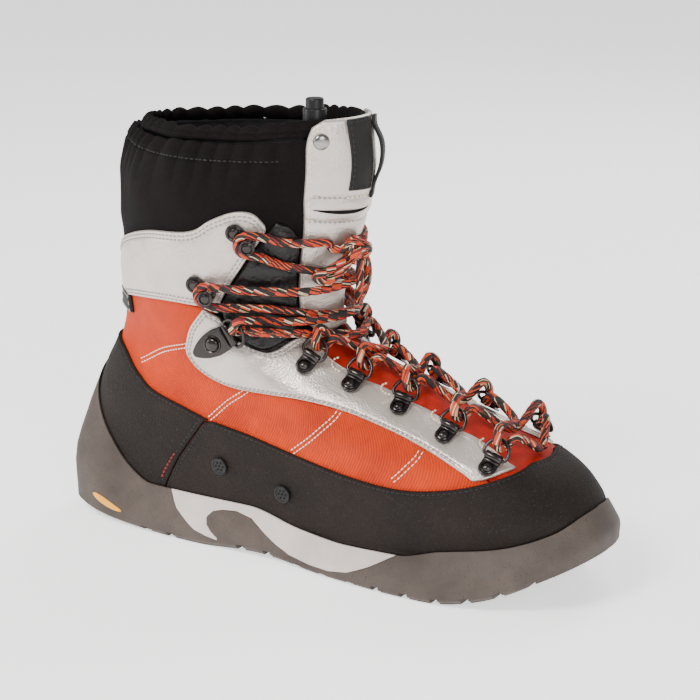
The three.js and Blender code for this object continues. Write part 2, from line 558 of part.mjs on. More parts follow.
const local = (frame, points) => points.map((p) => new THREE.Vector3(...p).applyMatrix4(frame));

// The lace comes in under the ring's bow, up through the ring and back over the bow.
function throughRing({ frame, reach, place: spot }) {
  const up = upSign(frame, spot);
  const around = LACE + LACE_CLEAR + WIRE + 0.2;
  const turn = [-90, -135, -180, -225, -270].map((angle, i) => {
    const [x, z] = arc(reach, 0, around, angle, angle, 1)[0];
    return [x, (i - 2) * 0.8 * up, z];
  });
  return local(frame, [[reach + 4.5, -3.4 * up, -around], ...turn, [reach + 4.5, 3.6 * up, around]]);
}

// The lace runs round the back of a hook's roller.
function roundHook({ frame, place: spot }) {
  const up = upSign(frame, spot);
  const r = HOOK.roller + 0.65 + LACE;
  const z = HOOK.rollerHeight / 2;
  return local(frame, [[5, -r * up, z], ...[-90, -135, -180, -225, -270].map((angle) => {
    const [x, y] = arc(0, 0, r, angle, angle, 1)[0];
    return [x, y * up, z];
  }), [5, r * up, z]]);
}

const ON_TONGUE = BASE.outer + GAP + LACE + 0.4;
const ON_PAD = OVERLAY.outer + GAP + LACE + 0.4;
const ON_SHIELD = SHIELD_TOP + GAP + LACE + 0.7;
const CROSSING_RISE = 2 * LACE + 1.2;
const CROSSINGS = [0.315, 0.404, 0.478, 0.5365, 0.592, 0.655, 0.742]; // v of each crossing on the crest

// Height of a lace that lies on the upper at u, v.
function lying(u, v) {
  const bend = v > 0.57 && v < 0.72 ? 1.1 : 0; // the ankle is hollow, so a straight lace stands off it
  if (v > 0.607 && Math.abs(u - 0.5) < 0.115) return ON_SHIELD + bend;
  return (v < 0.607 && Math.abs(u - 0.5) < 0.07 ? ON_TONGUE : ON_PAD) + bend;
}

// Stretch of lace from hardware beside u0 over the crest to hardware beside u1.
function overCrest([u0, v0], [u1, v1], rise) {
  const sign = Math.sign(u1 - u0);
  const reachOut = Math.min(Math.abs(u0 - 0.5), Math.abs(u1 - 0.5)) - 0.045;
  const crest = (v0 + v1) / 2;
  const stops = reachOut > 0.05 ? [-1, -0.65, -0.3, 0, 0.3, 0.65, 1] : [0];
  return stops.map((s) => {
    const u = 0.5 + s * sign * reachOut;
    const v = crest + ((v1 - v0) / Math.abs(u1 - u0)) * (u - 0.5) * sign;
    return onLast(u, v, lying(u, v) + rise * (Math.abs(s) < 0.9 ? 1 : 0.55));
  });
}

// A path that an extrusion follows with one step from each point to the next.
class Waypoints extends THREE.CatmullRomCurve3 {
  getPointAt(t, target) {
    return this.getPoint(t, target);
  }

  getTangentAt(t, target) {
    return this.getTangent(t, target);
  }
}

function strand(name, first, high0) {
  const second = first === "lateral" ? "medial" : "lateral";
  const sign = first === "lateral" ? -1 : 1;
  const points = [onLast(0.5 + sign * 0.0045, 0.262, ON_TONGUE + 0.4)];
  const stations = [...rings[first].map((_, i) => ({ ...rings[i % 2 ? second : first][i], ring: true })),
    hooks[first][0], hooks[second][1]];
  const leaves = [0, 0, 0, 0, -0.009, 0.012, 0.022];
  const arrives = [0, 0, 0, 0, 0.009, -0.012, -0.022];
  stations.forEach((station, i) => {
    points.push(...(station.ring ? throughRing(station) : roundHook(station)));
    if (i === stations.length - 1) return;
    const next = stations[i + 1];
    const high = (i % 2 === 0) === high0;
    points.push(...overCrest([station.place[0], CROSSINGS[i] - 0.5 * (next.place[1] - station.place[1]) + leaves[i]],
      [next.place[0], CROSSINGS[i] + 0.5 * (next.place[1] - station.place[1]) + arrives[i]], high ? CROSSING_RISE : 0));
  });
  for (const u of [0.13, 0.1, 0.07]) points.push(onLast(0.5 - sign * u, 0.81, ON_SHIELD + 0.2));
  points.push(onLast(sign < 0 ? 0.522 : 0.43, 0.803, ON_SHIELD + 0.6));
  const curve = new Waypoints(points, false, "centripetal");
  const section = new THREE.Shape(arc(0, 0, LACE, 0, 300, 5).map(([x, y]) => new THREE.Vector2(x, y)));
  const steps = points.length - 1;
  place(name, new THREE.ExtrudeGeometry(section, { steps, bevelEnabled: false, extrudePath: curve }), LACE_CORD);
}
strand("lace_strand_a", "lateral", true);
strand("lace_strand_b", "medial", false);

// The knot and its two hanging loops.
const KNOT = { at: [0.478, 0.803], length: 9, width: 7, thick: 5.2 };
const knotFrame = frameOn(KNOT.at, [0.52, 0.803], SHIELD_TOP + GAP + KNOT.thick + 0.2);
const knot = new THREE.SphereGeometry(1, 10, 7).scale(KNOT.length, KNOT.width, KNOT.thick).applyMatrix4(knotFrame);
function bowLoop(points) {
  const curve = new THREE.CatmullRomCurve3(points.map(([u, v, h]) => onLast(u, v, h)), true, "centripetal");
  return solid(new THREE.TubeGeometry(curve, 14, LACE - 0.2, 6, true));
}
place("lace_bow", solid(knot)
  .add(bowLoop([[0.47, 0.797, 8], [0.45, 0.785, 11], [0.428, 0.768, 12], [0.42, 0.757, 12], [0.432, 0.752, 12],
    [0.452, 0.772, 12], [0.47, 0.79, 9]]))
  .add(bowLoop([[0.49, 0.797, 8], [0.5, 0.785, 12], [0.508, 0.745, 14], [0.506, 0.715, 13.4], [0.496, 0.712, 13.8],
    [0.492, 0.745, 14.4], [0.488, 0.785, 11.6]])), LACE_CORD);

// ---------- small trim ----------
const snapFrame = frameOn([0.4, 0.972], [0.41, 0.972], SHIELD_TOP + GAP);
mount("tongue_snap", dome(4.2, 0, 2.2), METAL, snapFrame);
for (const [name, spot] of [["vent_rear", [0.198, 0.113]], ["vent_front", [0.239, 0.072]]]) {
  mount(name, turned([[0, 0], [4.8, 0], [4.8, 0.9], [3.9, 1.4], [3.4, 0.9], [0, 0.9]], 0, 14), PLASTIC,
    frameOn(spot, [spot[0] + 0.01, spot[1]], SEATED + 0.15));
}

// Webbing loop down the front of the shield: a flat strap that stands off in an arc.
const LOOP = { u: 0.528, low: 0.9, high: 0.985, standoff: 7, width: 9, thick: 1.4 };
function webbingLoop() {
  const top = SHIELD_TOP + GAP;
  const outer = new THREE.CatmullRomCurve3([
    onLast(LOOP.u, LOOP.low - 0.02, top + LOOP.thick / 2 + 0.5), onLast(LOOP.u, LOOP.low, top + LOOP.thick / 2 + 0.5),
    onLast(LOOP.u, LOOP.low + 0.03, top + LOOP.standoff * 0.8), onLast(LOOP.u, LOOP.low + 0.05, top + LOOP.standoff),
    onLast(LOOP.u, LOOP.high - 0.02, top + LOOP.standoff * 0.9), onLast(LOOP.u, LOOP.high, top + LOOP.thick / 2 + 0.5),
    onLast(LOOP.u, LOOP.high + 0.012, top + LOOP.thick / 2 + 0.5)], false, "centripetal");
  const across = new THREE.Shape([[-LOOP.width / 2, -LOOP.thick / 2], [LOOP.width / 2, -LOOP.thick / 2],
    [LOOP.width / 2, LOOP.thick / 2], [-LOOP.width / 2, LOOP.thick / 2]].map(([x, y]) => new THREE.Vector2(x, y)));
  return new THREE.ExtrudeGeometry(across, { steps: 16, bevelEnabled: false, extrudePath: outer });
}
place("webbing_loop", webbingLoop(), BLACK_CLOTH);

// Toggle of the hem's elastic cord: a barrel with a sprung plunger, lying against the lining.
const toggleFrame = new THREE.Matrix4().setPosition(
  onLast(TOGGLE.u, TOGGLE.v, LINING.inner - GAP - TOGGLE.radius - 0.6).add(new THREE.Vector3(0, 0, -TOGGLE.height + 9)));
const bore = TOGGLE.radius - TOGGLE.wall;
const barrel = new THREE.LatheGeometry([[0, 0], [TOGGLE.radius - 0.8, 0], [TOGGLE.radius, 0.8],
  [TOGGLE.radius, TOGGLE.height], [bore, TOGGLE.height], [bore, TOGGLE.floor], [0, TOGGLE.floor]]
  .map(([r, z]) => new THREE.Vector2(r, z)), 16).rotateX(Math.PI / 2);
mount("toggle_barrel", solid(barrel), PLASTIC, toggleFrame);
const plungerFrame = toggleFrame.clone().multiply(new THREE.Matrix4().makeTranslation(0, 0, TOGGLE.floor + 5));
const plungerLength = TOGGLE.height - TOGGLE.floor - 5 + TOGGLE.proud;
mount("toggle_plunger", turned([[0, 0], [TOGGLE.plunger, 0], [TOGGLE.plunger, plungerLength - 0.8],
  [TOGGLE.plunger - 0.8, plungerLength], [0, plungerLength]], 0, 14), PLASTIC, plungerFrame);

export default boot;
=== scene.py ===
# %% [markdown]
# # A laced mountaineering boot
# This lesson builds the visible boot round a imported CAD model. The CAD gives every part its
# place, and each cell here remakes one part finely: sewn panels, a gathered collar, metal
# lace hardware and braided laces. The frame is loaded first, because every piece rides on it.

# %% Load the frame
import bpy, math
import numpy as np
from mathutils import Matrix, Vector
from mathutils.geometry import delaunay_2d_cdt


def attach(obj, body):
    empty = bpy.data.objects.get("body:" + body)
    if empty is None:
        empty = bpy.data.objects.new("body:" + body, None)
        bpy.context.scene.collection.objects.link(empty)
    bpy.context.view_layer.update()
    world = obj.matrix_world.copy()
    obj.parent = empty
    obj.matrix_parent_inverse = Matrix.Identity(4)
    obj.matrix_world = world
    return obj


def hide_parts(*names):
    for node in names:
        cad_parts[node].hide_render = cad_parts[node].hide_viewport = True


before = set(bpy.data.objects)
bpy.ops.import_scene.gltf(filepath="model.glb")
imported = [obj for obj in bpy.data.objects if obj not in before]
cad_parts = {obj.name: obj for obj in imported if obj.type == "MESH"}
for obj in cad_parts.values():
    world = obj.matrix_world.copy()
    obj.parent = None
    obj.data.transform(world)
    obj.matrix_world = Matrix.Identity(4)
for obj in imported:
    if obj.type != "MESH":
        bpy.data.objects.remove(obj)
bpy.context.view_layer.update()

# %% [markdown]
# ## Camera and room
# A product shot is taken with a long lens from a low three-quarter view, in a white room with
# broad soft lamps. The camera looks at a point in the middle of the boot, so its place is that
# point plus a direction made from two angles.

# %% Camera
MM = 0.001
scene = bpy.context.scene
AIM, AZIMUTH, ELEVATION, DISTANCE, LENS = Vector((0.122, 0, 0.110)), 30, 16, 1.100, 109.2
turn, lift = math.radians(AZIMUTH), math.radians(ELEVATION)
back = Vector((math.sin(turn) * math.cos(lift), -math.cos(turn) * math.cos(lift), math.sin(lift)))
camera = bpy.data.objects.new("camera", bpy.data.cameras.new("camera"))
camera.data.lens, camera.data.sensor_width = LENS, 36
camera.location = AIM + back * DISTANCE
camera.rotation_euler = back.to_track_quat("Z", "Y").to_euler()
scene.collection.objects.link(camera)
scene.camera = camera
print("camera at", [round(x, 3) for x in camera.location])

# %% Lamps and floor
ROOM_LIGHT, FLOOR_GLOW = 0.42, 1.15

def soft_lamp(name, place, size, watts, colour=(1, 1, 1)):
    lamp = bpy.data.objects.new(name, bpy.data.lights.new(name, "AREA"))
    lamp.data.shape, lamp.data.size, lamp.data.energy, lamp.data.color = "DISK", size, watts, colour
    lamp.location = place
    lamp.rotation_euler = (Vector(place) - AIM).to_track_quat("Z", "Y").to_euler()
    scene.collection.objects.link(lamp)

soft_lamp("key", (-0.15, -1.05, 1.25), 0.6, 24, (1, 0.985, 0.96))
soft_lamp("front", (1.25, -0.85, 0.70), 0.8, 9)
soft_lamp("left", (-1.15, -0.65, 0.55), 0.7, 8)
soft_lamp("rim", (0.10, 1.15, 1.10), 0.9, 12)
world = scene.world or bpy.data.worlds.new("room")
scene.world = world
world.use_nodes = True
world.node_tree.nodes["Background"].inputs["Color"].default_value = (1, 1, 1, 1)
world.node_tree.nodes["Background"].inputs["Strength"].default_value = ROOM_LIGHT
floor_mesh = bpy.data.meshes.new("floor")
floor_mesh.from_pydata([(-30, -30, 0), (30, -30, 0), (30, 30, 0), (-30, 30, 0)], [], [(0, 1, 2, 3)])
floor = bpy.data.objects.new("floor", floor_mesh)
scene.collection.objects.link(floor)
floor_finish = bpy.data.materials.new("pale_floor")
floor_finish.use_nodes = True
for label, value in (("Base Color", (0.93, 0.93, 0.93, 1)), ("Roughness", 0.9), ("Emission Color", (1, 1, 1, 1)),
                     ("Emission Strength", FLOOR_GLOW)):
    floor_finish.node_tree.nodes["Principled BSDF"].inputs[label].default_value = value
floor_mesh.materials.append(floor_finish)
print("room ready")

# %% [markdown]
# ## The last
# A boot is made over a last, a solid form of the foot. Here it is one function of two numbers:
# u goes once round the boot (0 back seam, 0.25 outer side, 0.5 front crest) and v climbs from
# the sole to the collar. A third number, h, is the height off the form, so each layer of the
# upper is one height. The rows and the curve through them are the ones the CAD was made from.

# %% The form's sections
LAST = np.array([
    [0.0, -26, 13, 250, 20, 32, 35, 46, 2.3, 2.3, 8], [0.07, -35, 35, 261, 42, 35, 37, 50, 2.3, 2.4, 8],
    [0.14, -38, 51, 255, 54, 36, 38, 49, 2.3, 2.5, 8], [0.22, -36, 68, 240, 66, 36, 38, 47, 2.3, 2.4, 7],
    [0.32, -30, 85, 210, 77, 35, 38, 44, 2.3, 2.2, 6], [0.42, -22, 101, 177, 89, 35, 39, 41, 2.2, 2.05, 4],
    [0.51, -18, 117, 146, 101, 36, 41, 38, 2.2, 2.0, 3], [0.59, -17, 133, 122, 115, 38, 43, 38, 2.1, 2.0, 2],
    [0.67, -17, 151, 113, 132, 41, 46, 40, 2.0, 2.0, 1], [0.76, -16, 171, 118, 156, 43, 48, 43, 2.0, 2.0, 0],
    [0.86, -16, 193, 128, 186, 44, 49, 44, 2.0, 2.0, 0], [0.94, -12, 211, 132, 211, 43, 48, 43, 2.0, 2.0, 0],
    [1.0, 0, 227, 130, 234, 32, 38, 40, 2.0, 2.0, 0]], float)  # v, back x z, front x z, half widths, powers, shift
STATIONS = (0.18, 0.48, 0.76)  # where the three half widths hold, back to front

def follow(rows, column, x):
    """Monotone cubic through the rows, which never overshoots them."""
    rows, x = np.asarray(rows, float), np.asarray(x, float)
    xs, ys = rows[:, 0], rows[:, column]
    slope = np.diff(ys) / np.diff(xs)
    tangent = np.empty(len(xs))
    tangent[0], tangent[-1] = slope[0], slope[-1]
    a, b = slope[:-1], slope[1:]
    with np.errstate(divide="ignore", invalid="ignore"):
        tangent[1:-1] = np.where(a * b <= 0, 0, 2 * a * b / (a + b))
    i = np.clip(np.searchsorted(xs, x, side="left") - 1, 0, len(xs) - 2)
    span = xs[i + 1] - xs[i]
    s = np.clip((x - xs[i]) / span, 0, 1)
    p, q, tp, tq = ys[i], ys[i + 1], tangent[i] * span, tangent[i + 1] * span
    return p + s * (tp + s * (3 * (q - p) - 2 * tp - tq + s * (2 * (p - q) + tp + tq)))

def length_share(u):
    return (1 - np.cos(2 * np.pi * np.asarray(u, float))) / 2

def last_point(u, v):
    u, v = np.broadcast_arrays(np.asarray(u, float), np.asarray(v, float))
    bx, bz, cx, cz, heel, waist, ball, behind, before, shift = (follow(LAST, k, v) for k in range(1, 11))
    t = length_share(u)
    a, b, c = STATIONS
    half = (heel * (t - b) * (t - c) / ((a - b) * (a - c)) + waist * (t - a) * (t - c) / ((b - a) * (b - c))
            + ball * (t - a) * (t - b) / ((c - a) * (c - b)))
    power = np.where(t < 0.5, behind, before)
    bulge = np.sqrt(np.maximum(0, 1 - np.abs(2 * t - 1) ** power))
    side = np.where(u - np.floor(u) < 0.5, -1, 1)
    return np.stack([bx + (cx - bx) * t, side * half * bulge + shift * t * t, bz + (cz - bz) * t], -1)

def unit(a):
    return a / np.maximum(np.linalg.norm(a, axis=-1, keepdims=True), 1e-12)

def run_along(line):
    """The way gone along a line, at each of its points."""
    return np.concatenate([[0], np.cumsum(np.linalg.norm(np.diff(line, axis=0), axis=1))])

def outward(line):
    """Unit normals of a closed flat line, to the right of its run."""
    ahead = np.roll(line, -1, 0) - np.roll(line, 1, 0)
    return unit(np.stack([ahead[:, 1], -ahead[:, 0]], -1))

def signed_area(line):
    """Twice the area of a closed flat line, positive when it runs anticlockwise."""
    return ((line[:, 0] * np.roll(line[:, 1], -1)) - (np.roll(line[:, 0], -1) * line[:, 1])).sum()

def last_normal(u, v):
    e = 0.004
    v = np.asarray(v, float)
    along = last_point(np.asarray(u) + e, v) - last_point(np.asarray(u) - e, v)
    up = last_point(u, np.minimum(1, v + e)) - last_point(u, np.maximum(0, v - e))
    return unit(np.cross(along, up))

def on_last(u, v, h):
    return last_point(u, v) + last_normal(u, v) * np.asarray(h, float)[..., None]

print("form is", round(float(last_point(0.5, 0.07)[0] - last_point(0, 0.07)[0])), "mm long at the toe")

# %% Layers, as heights off the last in millimetres
GAP = 0.3
LINING_LAYER, BASE_LAYER, OVERLAY_LAYER = (-6.0, -3.2), (-2.9, -1.3), (-1.0, 0.6)
SHIELD_TOP = OVERLAY_LAYER[1] + 0.7
SEATED = OVERLAY_LAYER[1] + GAP
QUARTER_TOP, COLLAR_BOTTOM, COLLAR_TOP = 0.6425, 0.644, 0.972  # as v: the quarter ends just under the collar

# %% [markdown]
# ## Shader node groups
# Cloth weave, leather grain and uneven colour show up in many finishes. Each is one node group
# with named inputs, built once and placed in each material with its own values. A group gives
# out only masks and heights, so the shader itself stays in the material.

# %% Node helpers
def new_group(name, inputs, outputs, tree="ShaderNodeTree", gives="Float"):
    group = bpy.data.node_groups.new(name, tree)
    for label, kind, value in inputs:
        socket = group.interface.new_socket(label, in_out="INPUT", socket_type="NodeSocket" + kind)
        if value is not None:
            socket.default_value = value
    for label in outputs:
        group.interface.new_socket(label, in_out="OUTPUT", socket_type="NodeSocket" + gives)
    return group, group.nodes.new("NodeGroupInput"), group.nodes.new("NodeGroupOutput")

def node(tree, kind, inputs=None, **settings):
    made = tree.nodes.new(kind)
    for key, value in settings.items():
        setattr(made, key, value)
    for key, value in (inputs or {}).items():
        if isinstance(value, bpy.types.NodeSocket):
            tree.links.new(value, made.inputs[key])
        else:
            made.inputs[key].default_value = value
    return made

def maths(tree, operation, a, b=0.0, c=None):
    wanted = {0: a, 1: b} if c is None else {0: a, 1: b, 2: c}
    return node(tree, "ShaderNodeMath", wanted, operation=operation).outputs[0]

# %% Weave: plain cloth with yarns about a millimetre apart
weave, gi, go = new_group("weave", [("Vector", "Vector", None), ("Yarns per mm", "Float", 1.0)], ["Height", "Yarn"])
scaled = node(weave, "ShaderNodeVectorMath", {0: gi.outputs["Vector"], "Scale": gi.outputs["Yarns per mm"]},
              operation="SCALE")
parts = node(weave, "ShaderNodeSeparateXYZ", {0: scaled.outputs[0]})
across = maths(weave, "SINE", maths(weave, "MULTIPLY", parts.outputs[0], math.pi))
upward = maths(weave, "SINE", maths(weave, "MULTIPLY", parts.outputs[1], math.pi))
over = maths(weave, "MULTIPLY", across, upward)
weft = maths(weave, "MULTIPLY", maths(weave, "ABSOLUTE", upward), maths(weave, "MULTIPLY_ADD", over, 0.5, 0.5))
warp = maths(weave, "MULTIPLY", maths(weave, "ABSOLUTE", across), maths(weave, "MULTIPLY_ADD", over, -0.5, 0.5))
weave.links.new(maths(weave, "MAXIMUM", weft, warp), go.inputs["Height"])
weave.links.new(maths(weave, "GREATER_THAN", weft, warp), go.inputs["Yarn"])

# %% Grain: the pebbles and creases of hide or moulded rubber
grain, gi, go = new_group("grain", [("Vector", "Vector", None), ("Pebbles per m", "Float", 900.0),
                                    ("Creases per m", "Float", 120.0), ("Crease", "Float", 0.4)], ["Height", "Pits"])
cells = node(grain, "ShaderNodeTexVoronoi", {"Vector": gi.outputs["Vector"], "Scale": gi.outputs["Pebbles per m"]},
             feature="SMOOTH_F1")
folds = node(grain, "ShaderNodeTexNoise", {"Vector": gi.outputs["Vector"], "Scale": gi.outputs["Creases per m"],
                                           "Detail": 5.0, "Roughness": 0.62, "Distortion": 1.2})
ridge = maths(grain, "ABSOLUTE", maths(grain, "SUBTRACT", folds.outputs["Fac"], 0.5))
grain.links.new(maths(grain, "MULTIPLY_ADD", maths(grain, "MULTIPLY", ridge, 4.0), gi.outputs["Crease"],
                      maths(grain, "SUBTRACT", 1.0, cells.outputs["Distance"])), go.inputs["Height"])
pits_per_m = maths(grain, "MULTIPLY", gi.outputs["Pebbles per m"], 0.8)
speck = node(grain, "ShaderNodeTexNoise", {"Vector": gi.outputs["Vector"], "Scale": pits_per_m, "Detail": 2.0})
grain.links.new(maths(grain, "GREATER_THAN", speck.outputs["Fac"], 0.655), go.inputs["Pits"])

# %% Mottle: slow uneven colour, as dye and dust leave it
mottle, gi, go = new_group("mottle", [("Vector", "Vector", None), ("Patches per m", "Float", 25.0)], ["Amount"])
patches = node(mottle, "ShaderNodeTexNoise", {"Vector": gi.outputs["Vector"], "Scale": gi.outputs["Patches per m"],
                                              "Detail": 4.0, "Roughness": 0.6})
spread = node(mottle, "ShaderNodeMapRange", {"Value": patches.outputs["Fac"], "From Min": 0.3, "From Max": 0.7})
mottle.links.new(spread.outputs[0], go.inputs["Amount"])
print("groups", [g.name for g in (weave, grain, mottle)])

# %% [markdown]
# ## Finishes
# Each finish is a Principled shader. Numbers that are the same all over sit on its own sockets,
# and the groups feed its colour, roughness and normal.

# %% A finish with mottled colour and grain
def start_finish(name, rough, metal=0.0, **sockets):
    material = bpy.data.materials.new(name)
    material.use_nodes = True
    tree = material.node_tree
    shader = tree.nodes["Principled BSDF"]
    shader.inputs["Roughness"].default_value = rough
    shader.inputs["Metallic"].default_value = metal
    for key, value in sockets.items():
        shader.inputs[key.replace("_", " ")].default_value = value
    return material, tree, shader

def use(tree, group, **values):
    named = {key.replace("_", " "): value for key, value in values.items()}
    return node(tree, "ShaderNodeGroup", named, node_tree=group)

def blend_colour(tree, share, low, high):
    low, high = (c if isinstance(c, bpy.types.NodeSocket) else (*c, 1) for c in (low, high))
    return node(tree, "ShaderNodeMix", {0: share, 6: low, 7: high}, data_type="RGBA").outputs[2]

def bump(tree, shader, height, distance):
    bumped = node(tree, "ShaderNodeBump", {"Height": height, "Distance": distance, "Strength": 1.0})
    tree.links.new(bumped.outputs[0], shader.inputs["Normal"])

def grained(name, dark, light, rough, pebbles, creases, crease, depth, pit=None, metal=0.0, rough_spread=0.1,
            **sockets):
    material, tree, shader = start_finish(name, rough, metal, **sockets)
    place = node(tree, "ShaderNodeTexCoord").outputs["Object"]
    patch = use(tree, mottle, Vector=place, Patches_per_m=30.0)
    skin = use(tree, grain, Vector=place, Pebbles_per_m=pebbles, Creases_per_m=creases, Crease=crease)
    colour = blend_colour(tree, patch.outputs[0], dark, light)
    if pit:
        colour = blend_colour(tree, skin.outputs["Pits"], colour, pit)
    tree.links.new(colour, shader.inputs["Base Color"])
    tree.links.new(maths(tree, "MULTIPLY_ADD", skin.outputs["Height"], -rough_spread, rough + rough_spread),
                   shader.inputs["Roughness"])
    bump(tree, shader, skin.outputs["Height"], depth)
    return material

SILVER = grained("silver_leather", (0.52, 0.455, 0.405), (0.64, 0.57, 0.52), 0.33, 1100, 110, 0.8, 0.00017, metal=0.6)
RAND = grained("rand_hide", (0.0055, 0.0029, 0.0020), (0.0130, 0.0074, 0.0052), 0.66, 1500, 260, 0.3, 0.00034,
               pit=(0.026, 0.019, 0.014), Specular_IOR_Level=0.22)
SHEEN = grained("black_sheen", (0.0016, 0.0011, 0.0010), (0.0055, 0.0036, 0.0030), 0.36, 600, 60, 0.9, 0.0003,
                Specular_IOR_Level=0.35)
RUBBER = grained("rubber", (0.050, 0.037, 0.031), (0.092, 0.071, 0.060), 0.60, 1400, 300, 0.15, 0.00010,
                 pit=(0.045, 0.036, 0.03), Specular_IOR_Level=0.3)
FOAM = grained("midsole_foam", (0.50, 0.43, 0.385), (0.66, 0.58, 0.53), 0.74, 1700, 500, 0.2, 0.00014)
STIFFENER = grained("stiffener", (0.30, 0.27, 0.23), (0.36, 0.33, 0.29), 0.8, 900, 200, 0.2, 0.0001)
GUNMETAL = grained("gunmetal", (0.030, 0.026, 0.025), (0.060, 0.052, 0.050), 0.22, 300, 90, 0.5, 0.00003, metal=0.9,
                   rough_spread=0.06)
STEEL = grained("steel", (0.20, 0.19, 0.185), (0.30, 0.285, 0.275), 0.22, 300, 90, 0.5, 0.00003, metal=1.0,
                rough_spread=0.06)
PLASTIC = grained("black_plastic", (0.004, 0.004, 0.0045), (0.009, 0.008, 0.009), 0.34, 500, 90, 0.3, 0.00003,
                  rough_spread=0.05, Specular_IOR_Level=0.3)
print("grained finishes", len(bpy.data.materials))

# %% Cloth finishes read the panel's own pattern map, in millimetres
def woven(name, dark, light, rough, yarns, depth, gap_shade_share=0.6, turn_by=0.0, **sockets):
    material, tree, shader = start_finish(name, rough, **sockets)
    flat = node(tree, "ShaderNodeUVMap", uv_map="pattern").outputs[0]
    turned_flat = node(tree, "ShaderNodeMapping", {"Vector": flat, "Rotation": (0, 0, math.radians(turn_by)),
                                                   "Scale": (1000, 1000, 1)})
    cloth = use(tree, weave, Vector=turned_flat.outputs[0], Yarns_per_mm=yarns)
    place = node(tree, "ShaderNodeTexCoord").outputs["Object"]
    patch = use(tree, mottle, Vector=place, Patches_per_m=35.0)
    # The weave's height darkens the colour in the gaps between yarns, a painted shade, mixed with the mottle's uneven
    # dye
    gap_shade_and_mottle = maths(tree, "MULTIPLY_ADD", cloth.outputs["Height"], gap_shade_share, maths(tree, "MULTIPLY", patch.outputs[0],
            1 - gap_shade_share))
    tree.links.new(blend_colour(tree, gap_shade_and_mottle, dark, light), shader.inputs["Base Color"])
    bump(tree, shader, cloth.outputs["Height"], depth)
    return material

ORANGE = woven("orange_cloth", (0.20, 0.005, 0.0), (0.92, 0.066, 0.0), 0.66, 0.92, 0.00040, 0.70, 38,
               Specular_IOR_Level=0.25)
INSTEP = woven("instep_cloth", (0.22, 0.004, 0.0), (0.70, 0.018, 0.0), 0.62, 1.1, 0.00025, 0.6, 10,
               Specular_IOR_Level=0.25)
BLACK = woven("black_cloth", (0.0022, 0.0015, 0.0018), (0.0085, 0.0052, 0.0056), 0.88, 1.5, 0.00025, 0.55, 4,
              Specular_IOR_Level=0.12)
LINING = woven("lining_cloth", (0.006, 0.006, 0.0065), (0.018, 0.017, 0.018), 0.92, 1.1, 0.0002, 0.5,
               Specular_IOR_Level=0.15)
STRAP = woven("strap_webbing", (0.003, 0.0024, 0.0022), (0.0085, 0.0066, 0.0058), 0.6, 1.0, 0.00025, 0.6, 45,
              Specular_IOR_Level=0.3)

# %% Thread and plain small finishes
def plain(name, colour, rough):
    lighter = tuple(min(1, c * 1.25) for c in colour)
    return grained(name, colour, lighter, rough, 3000, 900, 0.4, 0.00006)

CREAM_THREAD = plain("cream_thread", (0.78, 0.66, 0.50), 0.7)
GREY_THREAD = plain("grey_thread", (0.26, 0.24, 0.225), 0.6)
DARK_THREAD = plain("dark_thread", (0.0035, 0.0028, 0.0025), 0.6)
RED_THREAD = plain("red_thread", (0.30, 0.006, 0.006), 0.7)
# Near black: painted shade for the inside of the shield's slit and of the drain holes
PAINTED_HOLE_SHADE = plain("painted_hole_shade", (0.006, 0.005, 0.005), 0.9)
YELLOW = plain("yellow_tag", (0.85, 0.36, 0.0), 0.5)

# %% Lace braid: flecks of colour run slantwise on a black ground
LACE_BRAID, tree, shader = start_finish("lace_braid", 0.62)
flat = node(tree, "ShaderNodeUVMap", uv_map="pattern").outputs[0]
slant = node(tree, "ShaderNodeMapping", {"Vector": flat, "Rotation": (0, 0, math.radians(-23)),
                                         "Scale": (1000, 1000, 1)})
flecks = node(tree, "ShaderNodeTexBrick", {"Vector": slant.outputs[0], "Color1": (0, 0, 0, 1), "Color2": (1, 1, 1, 1),
                                           "Mortar": (0, 0, 0, 1), "Scale": 1.0, "Mortar Size": 0.10,
                                           "Mortar Smooth": 0.1, "Bias": 0.0, "Brick Width": 5.2, "Row Height": 0.74},
              offset=0.37, offset_frequency=1)
palette = node(tree, "ShaderNodeValToRGB", {"Fac": flecks.outputs["Color"]})
palette.color_ramp.interpolation = "CONSTANT"
STOPS = [(0.0, (0.005, 0.003, 0.002)), (0.40, (0.70, 0.045, 0.0)), (0.61, (0.70, 0.53, 0.33)),
         (0.72, (0.005, 0.003, 0.002)), (0.80, (0.24, 0.004, 0.004)), (0.90, (0.75, 0.070, 0.002))]
for index, (at_share, colour) in enumerate(STOPS):
    stop = palette.color_ramp.elements[index] if index < 2 else palette.color_ramp.elements.new(at_share)
    stop.position, stop.color = at_share, (*colour, 1)
tree.links.new(palette.outputs[0], shader.inputs["Base Color"])
fibres = node(tree, "ShaderNodeTexWave", {"Vector": slant.outputs[0], "Scale": 0.55, "Distortion": 0.4},
              bands_direction="Y")
bump(tree, shader, fibres.outputs["Fac"], 0.00012)
print("finishes", len(bpy.data.materials))

# %% [markdown]
# ## Meshes
# Everything below is worked out in millimetres and turned to metres once, as it becomes a mesh.
# A piece may be put together from several closed shapes, such as a plate, a dome and a tube.

